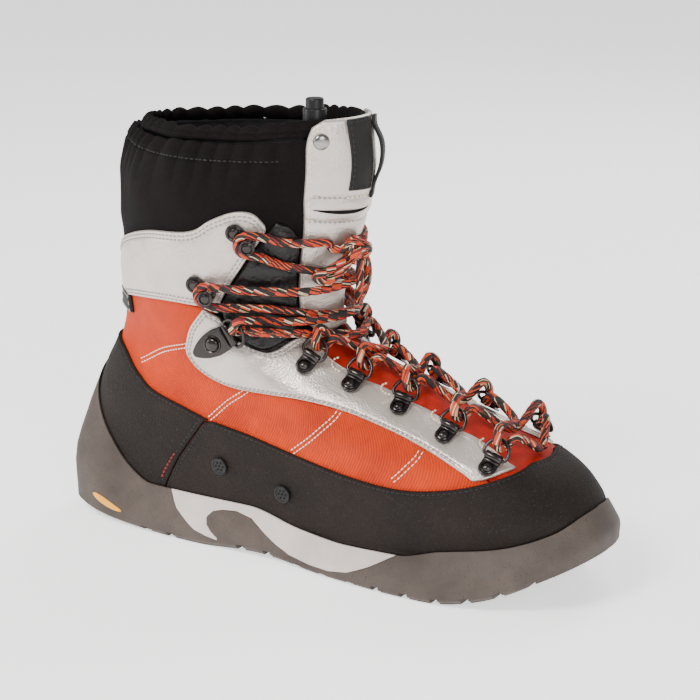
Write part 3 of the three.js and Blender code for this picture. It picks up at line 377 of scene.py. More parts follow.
# %% Mesh helpers
def make_piece(name, shapes, finishes, body="root", replaces=(), place=None, smooth_angle=None):
    """shapes: (points, faces[, pattern, finish index per face]); place: 4x4 frame that the points are in, mm."""
    points, faces, flat, picks, count = [], [], [], [], 0
    for shape in shapes:
        p, f = np.asarray(shape[0], float), shape[1]
        points.append(p)
        faces += [tuple(int(i) + count for i in face) for face in f]
        flat.append(np.zeros((len(p), 2)) if len(shape) < 3 or shape[2] is None else np.asarray(shape[2]))
        picks += [0] * len(f) if len(shape) < 4 else list(shape[3])
        count += len(p)
    points, flat = np.concatenate(points), np.concatenate(flat)
    if place is not None:
        points = points @ place[:3, :3].T + place[:3, 3]
    mesh = bpy.data.meshes.new(name)
    mesh.from_pydata((points * MM).tolist(), [], faces)
    finishes = finishes if isinstance(finishes, (list, tuple)) else [finishes]
    for finish in finishes:
        mesh.materials.append(finish)
    mesh.polygons.foreach_set("material_index", picks)
    layer = mesh.uv_layers.new(name="pattern")
    loops = np.zeros(len(mesh.loops), int)
    mesh.loops.foreach_get("vertex_index", loops)
    layer.data.foreach_set("uv", (flat[loops] * MM).astype(np.float32).ravel())
    mesh.shade_smooth()
    mesh.update()
    if smooth_angle:
        mesh.set_sharp_from_angle(angle=math.radians(smooth_angle))
    piece = bpy.data.objects.new(name, mesh)
    scene.collection.objects.link(piece)
    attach(piece, body)
    if replaces:
        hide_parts(*replaces)
    return piece

def quads(rows, columns, wrap_rows=False, wrap_columns=True):
    """Faces of a grid of points, row by row."""
    found = []
    for r in range(rows if wrap_rows else rows - 1):
        a, b = r * columns, (r + 1) % rows * columns
        for c in range(columns if wrap_columns else columns - 1):
            d = (c + 1) % columns
            found.append((a + c, a + d, b + d, b + c))
    return found

def smooth_line(points, n):
    """Uniform Catmull-Rom through flat points, in n steps, as a pattern cutter's spline."""
    p = np.asarray(points, float)
    last = len(p) - 1
    out = []
    for k in range(n + 1):
        x = last * k / n
        i = min(int(x), last - 1)
        w = x - i
        a, b, c, d = p[max(i - 1, 0)], p[i], p[i + 1], p[min(i + 2, last)]
        ta, tb = (c - a) * 0.5, (d - b) * 0.5
        out.append((2 * b - 2 * c + ta + tb) * w ** 3 + (-3 * b + 3 * c - 2 * ta - tb) * w ** 2 + ta * w + b)
    return [tuple(map(float, q)) for q in out]

def centripetal(points, closed=False):
    """Centripetal Catmull-Rom through points in space, in ten steps a span."""
    p = np.asarray(points, float)
    n = len(p)
    spans = n if closed else n - 1
    out = []
    for i in range(spans):
        b, c = p[i], p[(i + 1) % n]
        a = p[i - 1] if closed or i > 0 else 2 * b - c
        d = p[(i + 2) % n] if closed or i + 2 < n else 2 * c - b
        t0, t1, t2 = (max(np.linalg.norm(y - x) ** 0.5, 1e-6) for x, y in ((a, b), (b, c), (c, d)))
        m1 = (b - a) / t0 - (c - a) / (t0 + t1) + (c - b) / t1
        m2 = (c - b) / t1 - (d - b) / (t1 + t2) + (d - c) / t2
        m1, m2 = m1 * t1, m2 * t1
        for w in (k / 10 for k in range(10)):
            out.append((2 * b - 2 * c + m1 + m2) * w ** 3 + (-3 * b + 3 * c - 2 * m1 - m2) * w ** 2 + m1 * w + b)
    if not closed:
        out.append(p[-1])
    return np.array(out)

def even_steps(line, step, closed=False):
    """The same line with its points an even step apart."""
    line = np.asarray(line, float)
    if closed:
        line = np.vstack([line, line[:1]])
    run = run_along(line)
    count = max(2, int(round(run[-1] / step)))
    at = np.linspace(0, run[-1], count + 1)[:-1 if closed else None]
    return np.stack([np.interp(at, run, line[:, k]) for k in range(line.shape[1])], -1)

def carried_frames(line, closed):
    """Directions across a line that turn as little as they can along it."""
    ahead = np.roll(line, -1, 0) - np.roll(line, 1, 0) if closed else np.gradient(line, axis=0)
    ahead = unit(ahead)
    side = np.cross(ahead[0], (0, 0, 1) if abs(ahead[0][2]) < 0.9 else (1, 0, 0))
    sides = []
    for t in ahead:
        side = unit(side - t * np.dot(side, t))
        sides.append(side)
    sides = np.array(sides)
    if closed:  # spread the leftover twist, so the ends meet
        end = unit(sides[-1] - ahead[0] * np.dot(sides[-1], ahead[0]))
        twist = math.atan2(np.dot(np.cross(sides[0], end), ahead[0]), np.dot(sides[0], end))
        angle = -twist * np.arange(len(line)) / len(line)
        sides = sides * np.cos(angle)[:, None] + np.cross(ahead, sides) * np.sin(angle)[:, None]
    return ahead, sides, np.cross(ahead, sides)

def tube(line, radius, sides, closed=False, relief=None):
    """A closed tube on a line, with a pattern map of length along and length round."""
    line = np.asarray(line, float)
    ahead, side, up = carried_frames(line, closed)
    run = run_along(line)
    angle = np.linspace(0, 2 * np.pi, sides, endpoint=False)
    reach = np.broadcast_to(np.asarray(radius, float), len(line))[:, None] * np.ones(sides)
    if relief is not None:
        reach = reach + relief(run[:, None], angle[None, :])
    across = np.cos(angle)[None, :, None] * side[:, None] + np.sin(angle)[None, :, None] * up[:, None]
    points = line[:, None] + reach[..., None] * across
    flat = np.stack(np.broadcast_arrays(run[:, None], angle[None, :] * np.mean(reach)), -1)
    faces = quads(len(line), sides, wrap_rows=closed)
    points, flat = points.reshape(-1, 3), flat.reshape(-1, 2)
    if not closed:
        n = len(points)
        points = np.vstack([points, line[0] - ahead[0] * np.mean(reach[0]) * 0.4, line[-1] + ahead[-1]
                            * np.mean(reach[-1]) * 0.4])
        flat = np.vstack([flat, flat[0], flat[-1]])
        for c in range(sides):
            d = (c + 1) % sides
            faces += [(n, d, c), (n + 1, n - sides + c, n - sides + d)]
    return points, faces, flat

def turned(profile, centre=(0, 0, 0), sides=40, axis="z"):
    """A shape turned on a lathe, from a profile of (radius, height) that starts and ends on its axis."""
    inner = [q for q in profile[1:-1]]
    angle = np.linspace(0, 2 * np.pi, sides, endpoint=False)
    points = [np.stack([r * np.cos(angle), r * np.sin(angle), np.full(sides, z)], -1) for r, z in inner]
    points = np.vstack(points + [[[0, 0, profile[0][1]], [0, 0, profile[-1][1]]]])
    faces, n = quads(len(inner), sides), len(inner) * sides
    for c in range(sides):
        d = (c + 1) % sides
        faces += [(n, d, c), (n + 1, n - sides + c, n - sides + d)]
    if axis == "y":
        points = points[:, [1, 2, 0]]
    return points + np.asarray(centre, float), faces

def plate(outline, low, high, round_by):
    """A flat plate with rounded edges. The outline runs anticlockwise."""
    p = even_steps(np.asarray(outline, float), 0.5, closed=True)
    out = outward(p)
    loops = []
    for a in (math.pi / 2 * k / 3 for k in range(4)):
        loops.append((round_by * (1 - math.sin(a)), low + round_by * (1 - math.cos(a))))
    loops += [(inset, high + low - z) for inset, z in reversed(loops)]
    points = np.vstack([np.column_stack([p - out * inset, np.full(len(p), z)]) for inset, z in loops])
    n = len(p)
    faces = quads(len(loops), n)
    faces += [tuple(range(n - 1, -1, -1)), tuple(range(len(loops) * n - n, len(loops) * n))]
    return points, faces

def arc(x, y, r, start, end, n):
    return [(x + r * math.cos(math.radians(start + (end - start) * k / n)),
             y + r * math.sin(math.radians(start + (end - start) * k / n))) for k in range(n + 1)]

print("helpers ready")

# %% [markdown]
# ## Draped panels
# A sewn upper is flat pattern pieces pulled over the last. Each panel starts as an outline in
# (u, v). It is laid flat in millimetres, filled with a fine even net by Delaunay triangulation,
# and each net point is put back on the last at its height. Near the edge the height rolls over,
# and along each stitch row it dips, as thread pulls leather in. Extra net rows lie there.

# %% Flat pattern of a patch of the last
class Pattern:
    """Turns (u, v) to flat millimetres and back, near one place on the last."""
    def __init__(self, outline):
        o = np.asarray(outline, float)
        self.u = np.linspace(o[:, 0].min() - 0.03, o[:, 0].max() + 0.03, 600)
        self.v = np.linspace(max(0, o[:, 1].min() - 0.02), min(1, o[:, 1].max() + 0.02), 300)
        um, vm = (o[:, 0].min() + o[:, 0].max()) / 2, np.clip((o[:, 1].min() + o[:, 1].max()) / 2, 0, 1)
        self.s, self.t = run_along(last_point(self.u, vm)), run_along(last_point(um, self.v))
        self.rate = (self.t[-1] / (self.v[-1] - self.v[0]))

    def flat(self, uv):
        uv = np.asarray(uv, float)
        return np.stack([np.interp(uv[:, 0], self.u, self.s), (uv[:, 1] - self.v[0]) * self.rate], -1)

    def back(self, st):
        return np.stack([np.interp(st[:, 0], self.s, self.u), np.clip(st[:, 1] / self.rate + self.v[0], 0, 1)], -1)

def line_distance(points, line):
    """Distance from each flat point to a closed line, worked out in blocks."""
    a = np.asarray(line, float)
    b = np.roll(a, -1, 0)
    d = b - a
    squares = np.maximum((d ** 2).sum(1), 1e-12)
    out = np.empty(len(points))
    for k in range(0, len(points), 2000):
        p = points[k:k + 2000, None]
        t = np.clip(((p - a) * d).sum(2) / squares, 0, 1)
        out[k:k + 2000] = np.sqrt((((a + t[..., None] * d) - p) ** 2).sum(2)).min(1)
    return out

def inside(points, line):
    a = np.asarray(line, float)
    b = np.roll(a, -1, 0)
    out = np.zeros(len(points), bool)
    for k in range(0, len(points), 4000):
        x, y = points[k:k + 4000, 0, None], points[k:k + 4000, 1, None]
        meets = (b[:, 0] - a[:, 0]) * (y - a[:, 1]) / (b[:, 1] - a[:, 1] + 1e-15) + a[:, 0]
        crosses = ((a[:, 1] > y) != (b[:, 1] > y)) & (x < meets)
        out[k:k + 4000] = crosses.sum(1) % 2 == 1
    return out

def inset(line, by):
    """The closed line moved inwards, without the points that end up too near another edge."""
    moved = line - outward(line) * by * np.sign(signed_area(line))
    keep = inside(moved, line) & (line_distance(moved, line) > by * 0.93)
    return moved, keep

# %% One draped panel, and the lines its stitches follow
THREADS = {}  # kind of thread: lines in space that stitches follow
PUFF_OVER = 14.0  # how far from its last stitch row a panel takes to swell
SLIT_DEPTH = 1.7
SIDES = ("lateral", "medial")

def lay_thread(kind, line):
    THREADS.setdefault(kind, []).append(line)

def drape(name, outline, layer, finish, replaces=(), net=2.4, roll=0.8, rows=(), row_where=None, thread=None,
          dip=0.28, puff=0.0, shape=None, second=None, cut=None):
    """rows: distances of stitch rows from the edge; shape(u, v, d) adds height; cut: a slit, whose sunk floor takes
    second, a finish painted dark as the shade inside it. d is the distance from the edge."""
    pattern = Pattern(outline)
    edge = even_steps(pattern.flat(outline), 1.1, closed=True)
    low, high = layer
    free = []
    beside_rows = {round(r + k, 2) for r in rows for k in (-0.45, 0.0, 0.45)}
    offsets = sorted({round(roll * 0.4, 2), round(roll, 2)} | beside_rows)
    for by in offsets:
        moved, keep = inset(edge, by)
        free.append(moved[keep])
    deepest = offsets[-1] + net * 0.5
    (x0, y0), (x1, y1) = edge.min(0), edge.max(0)
    x, y = np.meshgrid(np.arange(x0, x1, net), np.arange(y0, y1, net * 0.87))
    x = x + (np.arange(x.shape[0]) % 2)[:, None] * net / 2
    mesh_points = np.stack([x.ravel(), y.ravel()], -1)
    mesh_points = mesh_points[inside(mesh_points, edge)]
    free.append(mesh_points[line_distance(mesh_points, edge) > deepest])
    free = np.vstack(free)
    n, lines = len(edge), []
    if cut is not None:  # a slit: its edge, and a floor a little inside it
        rim = even_steps(pattern.flat(cut), 0.5, closed=True)
        floor_rim, _ = inset(rim, 0.28)
        free = free[line_distance(free, rim) > 0.5]
        lines = [(n + k, n + (k + 1) % len(rim)) for k in range(len(rim))]
        free = np.vstack([rim, floor_rim, free])
    flat_points = [Vector(p) for p in np.vstack([edge, free])]
    made = delaunay_2d_cdt(flat_points, lines, [tuple(range(n))], 1, 1e-4)
    st = np.array([tuple(p) for p in made[0]])
    triangles = np.array(made[2])
    a, b, c = st[triangles[:, 0]], st[triangles[:, 1]], st[triangles[:, 2]]
    area = (b[:, 0] - a[:, 0]) * (c[:, 1] - a[:, 1]) - (b[:, 1] - a[:, 1]) * (c[:, 0] - a[:, 0])
    triangles[area < 0] = triangles[area < 0][:, ::-1]
    uv = pattern.back(st)
    d = line_distance(st, edge)
    thick = high - low
    rise = np.sqrt(np.clip(1 - (1 - np.clip(d / roll, 0, 1)) ** 2, 0, 1))
    height = low + thick * (0.2 + 0.8 * rise)
    for r in rows:
        height -= dip * np.exp(-((d - r) / 0.42) ** 2)
    if puff:
        height += puff * (1 - np.exp(-(np.maximum(0, d - (max(rows) if rows else 0)) / PUFF_OVER) ** 1.5))
    if shape:
        height += shape(uv[:, 0], uv[:, 1], d) * rise
    if cut is not None:
        sunk = inside(st, rim) & (line_distance(st, rim) > 0.1)
        height[sunk] -= SLIT_DEPTH
    top, bottom = on_last(uv[:, 0], uv[:, 1], height), on_last(uv[:, 0], uv[:, 1], np.full(len(uv), low))
    count = len(st)
    points = np.vstack([top, bottom])
    faces = [tuple(t) for t in triangles] + [tuple(t[::-1] + count) for t in triangles]
    sides = {}
    for t in triangles:
        for p, q in ((t[0], t[1]), (t[1], t[2]), (t[2], t[0])):
            sides[(p, q)] = True
    walls = [(p, q) for p, q in sides if (q, p) not in sides]
    faces += [(q, p, p + count, q + count) for p, q in walls]
    picks = [0] * len(faces)
    # Triangles inside the slit take the second finish, the painted shade of its floor
    if second:
        picks[:len(triangles)] = inside(st[triangles].mean(1), rim).astype(int).tolist()
    if thread:
        for r in rows:
            moved, keep = inset(edge, r)
            row_uv = pattern.back(moved)
            if row_where is not None:
                keep = keep & row_where(row_uv[:, 0], row_uv[:, 1])
            lie = np.full(len(moved), high - dip + 0.12)
            if shape:
                lie += shape(row_uv[:, 0], row_uv[:, 1], np.full(len(moved), r))
            row = on_last(row_uv[:, 0], row_uv[:, 1], lie)
            add_runs(thread, row, keep)
    finishes = [finish] + ([second] if second else [])
    return make_piece(name, [(points, faces, np.vstack([st, st]), picks)], finishes, replaces=replaces)

def add_runs(thread, row, keep):
    """Keeps the runs of a closed row where stitches are wanted."""
    n = len(row)
    if keep.all():
        lay_thread(thread, np.vstack([row, row[:1]]))
        return
    if not keep.any():
        return
    start = int(np.argmin(keep))
    run = []
    for k in range(start, start + n + 1):
        i = k % n
        if keep[i] and k < start + n:
            if run and np.linalg.norm(row[i] - run[-1]) > 6:
                if len(run) > 3:
                    lay_thread(thread, np.array(run))
                run = []
            run.append(row[i])
        else:
            if len(run) > 3:
                lay_thread(thread, np.array(run))
            run = []

def sewn_line(thread, uv, height, gap=0.0):
    """A row of stitches, or a double one, along a line on the last."""
    line = even_steps(np.asarray(smooth_line(uv, 24), float), 0.004)
    points = last_point(line[:, 0], line[:, 1])
    normal = last_normal(line[:, 0], line[:, 1])
    across = unit(np.cross(normal, np.gradient(points, axis=0)))
    base = on_last(line[:, 0], line[:, 1], np.full(len(line), height))
    for shift in ((-gap / 2, gap / 2) if gap else (0,)):
        lay_thread(thread, base + across * shift)

print("draping ready")

# %% [markdown]
# ## Pattern pieces
# These outlines are half patterns on the outer side. The inner side is the mirror of each, at
# 1 - u. The quarter, counter, toe puff and lower tongue share the base layer, edge to edge.

# %% Outlines in (u, v)
def box2(u0, u1, v0, v1):
    return [(u0, v0), (u1, v0), (u1, v1), (u0, v1)]

def mirrored(outline):
    return [(1 - u, v) for u, v in outline][::-1]

def on_side(side, outline):
    return outline if side == "lateral" else mirrored(outline)

def other_side(outline):
    return [(-u, v) for u, v in outline][::-1]

FEATHER = [[0, 0.32], [0.03, 0.27], [0.05, 0.21], [0.082, 0.13], [0.104, 0.062], [0.127, 0.035], [0.213, 0.035],
           [0.25, 0.013], [0.286, 0.002], [0.32, 0.002], [0.349, 0.02], [0.393, 0.035], [0.433, 0.06], [0.468, 0.092],
           [0.5, 0.103]]

def folded(u):
    """u as a distance from the back seam, the same on both sides."""
    u = np.abs(np.asarray(u, float)) % 1
    return np.minimum(u, 1 - u)

def above_sole(u, v):
    return v > follow(FEATHER, 1, folded(u)) + 0.012

RAND_TOP_HEEL = [(0.196, 0.24), (0.174, 0.268), (0.142, 0.3), (0.123, 0.34), (0.087, 0.4), (0.029, 0.427)]
RAND_SEAM = [(0.141, 0.03), (0.153, 0.07), (0.171, 0.14), (0.192, 0.23)]
RAND_TOP_FRONT = [(0.2, 0.236), (0.227, 0.217), (0.259, 0.182), (0.291, 0.155), (0.324, 0.147), (0.363, 0.17),
                  (0.414, 0.212), (0.464, 0.247)]
heel_half = [(0.11, 0.03)] + smooth_line([(0.138, 0), *RAND_SEAM], 30) + smooth_line(RAND_TOP_HEEL, 40)
rand_heel = heel_half + other_side(heel_half)
front_half = [(0.44, 0.04), (0.40, 0.02), (0.34, 0.0)] \
    + [(u + 0.0004, v) for u, v in smooth_line([(0.138, 0), *RAND_SEAM], 30)] \
    + smooth_line(RAND_TOP_FRONT, 56)
rand_front = front_half + mirrored(front_half)
FACING = smooth_line([(0.276, 0.64), (0.244, 0.58), (0.211, 0.497), (0.212, 0.432), (0.237, 0.398), (0.277, 0.405),
                      (0.306, 0.41), (0.338, 0.398), (0.361, 0.36), (0.376, 0.305), (0.381, 0.247),
                      (0.386, 0.2)], 90) \
    + [(0.4, 0.2085), (0.42, 0.227), (0.443, 0.2415)] \
    + smooth_line([(0.44, 0.25), (0.45, 0.323), (0.443, 0.36), (0.447, 0.408), (0.438, 0.438), (0.43, 0.475),
                   (0.413, 0.503), (0.406, 0.542), (0.407, 0.583), (0.387, 0.6), (0.342, 0.562), (0.32, 0.552),
                   (0.299, 0.58), (0.294, 0.628)], 110)
cuff_half = smooth_line([(0.0, 0.515), (0.041, 0.53), (0.109, 0.578), (0.211, 0.631), (0.272, 0.647)], 32) \
    + [(0.2945, 0.6375)] \
    + smooth_line([(0.301, 0.662), (0.31, 0.695), (0.323, 0.74), (0.333, 0.775), (0.345, 0.82), (0.337, 0.840),
                   (0.323, 0.854), (0.302, 0.852), (0.278, 0.832), (0.254, 0.804), (0.187, 0.78), (0.111, 0.728),
                   (0.071, 0.69), (0.0, 0.66)], 100)
cuff_outline = cuff_half + other_side(cuff_half[1:-1])
PAD = [(u + 0.0005, v + 0.0035)
       for u, v in smooth_line([(0.3, 0.585), (0.32, 0.556), (0.342, 0.566), (0.385, 0.605)], 24)] \
    + [(0.4035, 0.63), (0.4030, 0.69), (0.3945, 0.785), (0.388, 0.812), (0.372, 0.832), (0.355, 0.838)] \
    + [(u + 0.0015, v) for u, v in smooth_line([(0.3455, 0.815), (0.3345, 0.775), (0.3245, 0.74), (0.3115, 0.695),
                                                (0.3025, 0.662), (0.2985, 0.63)], 40)]
SHIELD = [(0.5, 0.628), (0.462, 0.622)] \
    + smooth_line([(0.42, 0.622), (0.408, 0.645), (0.406, 0.69), (0.397, 0.79), (0.383, 0.88), (0.379, 0.96),
                   (0.389, 0.99)], 40) \
    + [(0.41, 0.999)]
shield_outline = (SHIELD + mirrored(SHIELD))[::-1]
quarter_half = [(0.1012, 0.3615), (0.1312, 0.3115), (0.1312, 0.0), (0.3638, 0.0), (0.3638, 0.1565), (0.4008, 0.187),
                (0.4008, 0.6035), (0.302, 0.6035), (0.290, 0.612), (0.284, QUARTER_TOP)]
quarter_outline = [(0.0, 0.3615)] + quarter_half + [(0.0, QUARTER_TOP)] + other_side(quarter_half)
print("outlines", len(FACING), len(cuff_outline), len(shield_outline))

# %% [markdown]
# ## Base layer
# The orange quarter is a heavy woven nylon. The counter at the heel and the puff at the toe are
# stiff boards under the rand. The lower tongue is softer cloth that swells between the laces.

# %% Quarter, stiffeners and lower tongue
drape("quarter_cloth", quarter_outline, BASE_LAYER, ORANGE, ["quarter"], net=3.0, roll=0.5)
drape("heel_counter_board", [(-0.1, 0.04), (0.1, 0.04), (0.13, 0.0), (0.13, 0.31), (0.1, 0.36), (-0.1, 0.36),
                             (-0.13, 0.31), (-0.13, 0.0)], BASE_LAYER, STIFFENER, ["heel_counter"],
      net=4, roll=0.5)
drape("toe_puff_board", [(0.365, 0.02), (0.42, 0.04), (0.58, 0.04), (0.635, 0.02), (0.635, 0.155), (0.598, 0.186),
                         (0.55, 0.2265), (0.45, 0.2265), (0.402, 0.186), (0.365, 0.155)], BASE_LAYER, STIFFENER,
      ["toe_puff"], net=4, roll=0.5)
CROSSINGS = [0.315, 0.404, 0.478, 0.5365, 0.592, 0.655, 0.742]  # v of each lace crossing on the crest

def tongue_swell(u, v, d):
    out = np.zeros_like(v)
    for low, high in zip([0.262] + CROSSINGS[:4], CROSSINGS[:5]):
        s = np.clip((v - low) / (high - low), 0, 1)
        out += np.sin(np.pi * s) ** 2 * 2.6
    return out * np.clip(1 - (np.abs(u - 0.5) / 0.045) ** 2, 0, 1)

drape("tongue_cloth", [(0.402, 0.188), (0.45, 0.2285), (0.55, 0.2285), (0.598, 0.188), (0.598, 0.6035),
                       (0.402, 0.6035)], BASE_LAYER, INSTEP, ["tongue_lower"], net=1.8, roll=0.5,
      shape=tongue_swell)
print("base layer done")

# %% [markdown]
# ## Overlays
# The rand is a rubbered wrap, glued low and stitched along its top. The facing and the cuff are
# pearl leather with a folded edge and two rows of stitches. The dark ankle pads are thin
# padding that creases where the foot bends, so creases are pressed in between swells.

# %% Rand
drape("rand_heel_wrap", rand_heel, OVERLAY_LAYER, RAND, ["rand_heel"], net=2.6, roll=1.1, rows=(2.3,),
      row_where=above_sole, thread="dark", dip=0.35)
drape("rand_front_wrap", rand_front, OVERLAY_LAYER, RAND, ["rand_front"], net=2.6, roll=1.1, rows=(2.3,),
      row_where=above_sole, thread="dark", dip=0.35)

# %% Facings and cuff
def crumple(u, v, amount, coarse):
    """Soft wrinkles of leather, the same each run."""
    p = last_point(u, v)
    rng = np.random.default_rng(7)
    out = np.zeros(len(p))
    for k in range(14):
        way = unit(rng.normal(size=3))
        wave = (p @ way) / (coarse * (0.5 + rng.random())) * 2 * np.pi + rng.random() * 6.28
        out += np.sin(wave + 1.3 * np.sin(wave * 0.37 + k)) / 14
    return amount * out

def facing_shape(u, v, d):
    swell = np.clip((d - 3.9) / 2.5, 0, 1)
    crease = np.exp(-((v - 0.545) / 0.05) ** 2) * np.exp(-((folded(u) - 0.30) / 0.05) ** 2)
    return crumple(u, v, 0.55, 16) * swell * (0.35 + crease * 1.3)

def facing_rows(u, v):
    return (folded(u) < 0.4) & (v > 0.245)

for side in SIDES:
    drape(f"facing_leather_{side}", on_side(side, FACING), OVERLAY_LAYER, SILVER,
          [f"facing_{side}"], net=1.9, roll=0.75, rows=(1.7, 3.3), row_where=facing_rows, thread="grey",
          shape=facing_shape)

def cuff_shape(u, v, d):
    return (crumple(u, v, 1.3, 22) + 0.5) * np.clip((d - 3.6) / 5, 0, 1)

drape("cuff_leather", cuff_outline, OVERLAY_LAYER, SILVER, ["cuff"], net=2.0, roll=0.75,
      rows=(1.7, 3.4), thread="grey", shape=cuff_shape, puff=0.4)

# %% Ankle pads, creased where the boot flexes, with a thin gusset low under each
PAD_CREASES = (0.625, 0.665, 0.71, 0.765, 0.83)  # v of each crease
GUSSET = [(0.302, 0.550), (0.345, 0.545), (0.402, 0.575), (0.402, 0.600), (0.302, 0.600)]
GUSSET_LAYER = (-1.25, -1.02)

def pad_shape(u, v, d):
    slanted = v + 0.35 * (folded(u) - 0.35)
    crease = sum(np.exp(-((slanted - c) / 0.006) ** 2) for c in PAD_CREASES)
    return 1.3 * np.clip(d / 6, 0, 1) + (crumple(u, v, 0.7, 24) - 1.2 * crease) * np.clip(d / 3, 0, 1)

for side in SIDES:
    pad = drape(f"ankle_padding_{side}", on_side(side, PAD), OVERLAY_LAYER, SHEEN,
                [f"ankle_pad_{side}"], net=1.3, roll=1.0, shape=pad_shape)
    drape(f"ankle_gusset_{side}", on_side(side, GUSSET), GUSSET_LAYER, SHEEN, net=2.4, roll=0.1)

# %% Tongue shield with its slit and sewn channels
slit_u = np.linspace(0.392, 0.508, 24)
slit_half = 0.0034 * np.sin(np.pi * np.linspace(0, 1, 24)) ** 0.8
slit_middle = 0.8610 + 1.6 * (slit_u - 0.445) ** 2
SLIT = list(zip(slit_u, slit_middle - slit_half)) + list(zip(slit_u, slit_middle + slit_half))[::-1][1:-1]
CHANNELS = (0.884, 0.842)

def shield_shape(u, v, d):
    out = 1.5 * (1 - np.exp(-np.maximum(0, d - 3.4) / 7))
    for c in CHANNELS:
        out -= 0.75 * np.exp(-((v - c - 0.6 * (u - 0.45) ** 2) / 0.0038) ** 2)
    out += 0.9 * np.exp(-((v - 0.863) / 0.012) ** 2)
    return out + crumple(u, v, 0.5, 18) * np.clip((d - 3) / 4, 0, 1)

# The slit's sunk floor is painted near black, as the shade inside it
shield = drape("tongue_shield_pad", shield_outline, (OVERLAY_LAYER[0], SHIELD_TOP), SILVER,
               ["tongue_shield"], net=1.25, roll=1.1, rows=(2.0,), thread="cream", row_where=lambda u, v: v < 0.99,
               shape=shield_shape, second=PAINTED_HOLE_SHADE, cut=SLIT)
for c in CHANNELS:
    across_line = [(u, c + 0.6 * (u - 0.45) ** 2) for u in np.linspace(0.395, 0.60, 9)]
    sewn_line("grey", across_line, SHIELD_TOP + 0.75)
print("overlays done, threads", {k: len(v) for k, v in THREADS.items()})

# %% [markdown]
# ## Collar and hem
# The black collar is loose cloth that an elastic cord draws in at the top. It is one closed
# band: a fine grid round the last, pushed in and out by gathers that fade downwards. The hem is
# a soft roll whose section swells between the pinches of the elastic.

# %% Collar
def ease(x, low, high):
    s = np.clip((x - low) / (high - low), 0, 1)
    return s * s * (3 - 2 * s)

CUFF_TOP = [[0, 0.66], [0.071, 0.69], [0.111, 0.728], [0.187, 0.78], [0.256, 0.805], [0.3, 0.858], [0.345, 0.875],
            [0.4, 0.9], [0.5, 0.9]]

GATHERS, TUNNEL_V = 38, 0.944  # folds round the collar; v of the stitched tunnel for its cord

def gather(u):
    return np.abs(np.sin(np.pi * GATHERS * u + 0.9 * np.sin(6 * np.pi * u) + 0.6 * np.sin(14 * np.pi * u + 1)))

def open_cloth(u):
    """1 where the collar shows, 0 behind the tongue shield."""
    return ease(np.abs(folded(u) - 0.5), 0.125, 0.15)

def collar_height(u, v):
    free = ease(v - follow(CUFF_TOP, 1, folded(u)), 0.012, 0.08) * open_cloth(u)
    drawn = ease(v, 0.87, 0.965)
    sag = 0.9 * np.sin(2 * np.pi * (3 * u + 1.3 * v)) + 0.8 * np.sin(2 * np.pi * (5 * u - 2.1 * v) + 1) \
        + 0.5 * np.sin(2 * np.pi * (11 * u + 3 * v))
    folds = (gather(u) - 0.5) * (0.3 + 1.1 * drawn) * ease(v, 0.80, 0.95)
    seam = -0.9 * np.exp(-((v - TUNNEL_V) / 0.003) ** 2)
    return free * (1.0 + sag * 0.8 + folds * 1.3 + seam - 1.0 * drawn)

def band(name, v0, v1, low, high, finish, node_names, around, rows, height=None):
    u = np.arange(around) / around
    v = np.linspace(v0, v1, rows)
    uu, vv = np.meshgrid(u, v)
    extra = height(uu, vv) if height else np.zeros_like(uu)
    outer = on_last(uu, vv, high + extra)
    inner_rows = v[::-1][:: max(1, rows // 14)]
    if inner_rows[-1] != v0:
        inner_rows = np.append(inner_rows, v0)
    ui, vi = np.meshgrid(u, inner_rows)
    inner = on_last(ui, vi, np.full(ui.shape, low))
    points = np.vstack([outer.reshape(-1, 3), inner.reshape(-1, 3)])
    middle = (v0 + v1) / 2
    round_run = run_along(last_point(u, middle))
    up = np.linalg.norm(last_point(0.25, v1) - last_point(0.25, v0)) / (v1 - v0)
    flat = np.vstack([np.stack([np.broadcast_to(round_run, uu.shape), vv * up], -1).reshape(-1, 2),
                      np.stack([np.broadcast_to(round_run, ui.shape), vi * up], -1).reshape(-1, 2)])
    faces = quads(len(v) + len(inner_rows), around, wrap_rows=True)
    return make_piece(name, [(points, faces, flat)], finish, replaces=node_names)

collar = band("collar_cloth", COLLAR_BOTTOM, COLLAR_TOP - 0.001, BASE_LAYER[0], BASE_LAYER[1], BLACK,
              ["collar"], 640, 96, collar_height)
for half in (-1, 1):  # the tunnel's stitch row lies in its groove
    row_u = (0.5 + half * np.linspace(0.155, 0.5, 160)) % 1
    row_v = np.full(160, TUNNEL_V)
    lay_thread("dark", on_last(row_u, row_v, BASE_LAYER[1] + 0.1 + collar_height(row_u, row_v)))

# %% Hem
around, ribs = 900, 20
u = np.arange(around) / around
swell = gather(u)
free = open_cloth(u)
middle_v = 0.9865
up_way = unit(last_point(u, 1.0) - last_point(u, 0.97))
out_way = last_normal(u, middle_v)
drop = free * (0.9 * swell - 0.9 + 0.35 * np.sin(2 * np.pi * 9 * u))
centre = on_last(u, middle_v, np.full(around, -3.7)) + up_way * drop[:, None]
angle = np.linspace(0, 2 * np.pi, ribs, endpoint=False)
tall = 4.4 * (1 - free * 0.26 * (1 - swell))
deep = 1.9 * (1 + free * (0.42 * swell - 0.1))
power = lambda w: np.sign(w) * np.abs(w) ** 0.8
points = centre[:, None] + (deep[:, None] * power(np.cos(angle)))[..., None] * out_way[:, None] \
    + (tall[:, None] * power(np.sin(angle)))[..., None] * up_way[:, None]
run = run_along(centre)
flat = np.stack(np.broadcast_arrays(run[:, None], angle[None, :] * 3.4), -1).reshape(-1, 2)
hem_faces = [face[::-1] for face in quads(around, ribs, wrap_rows=True)]
hem = make_piece("collar_hem_roll", [(points.reshape(-1, 3), hem_faces, flat)], BLACK,
                 replaces=["collar_hem"])
band("lining_cloth_sock", 0.02, COLLAR_TOP - 0.001, LINING_LAYER[0], LINING_LAYER[1], LINING,
     ["lining"], 200, 60)
print("collar, hem and lining done")

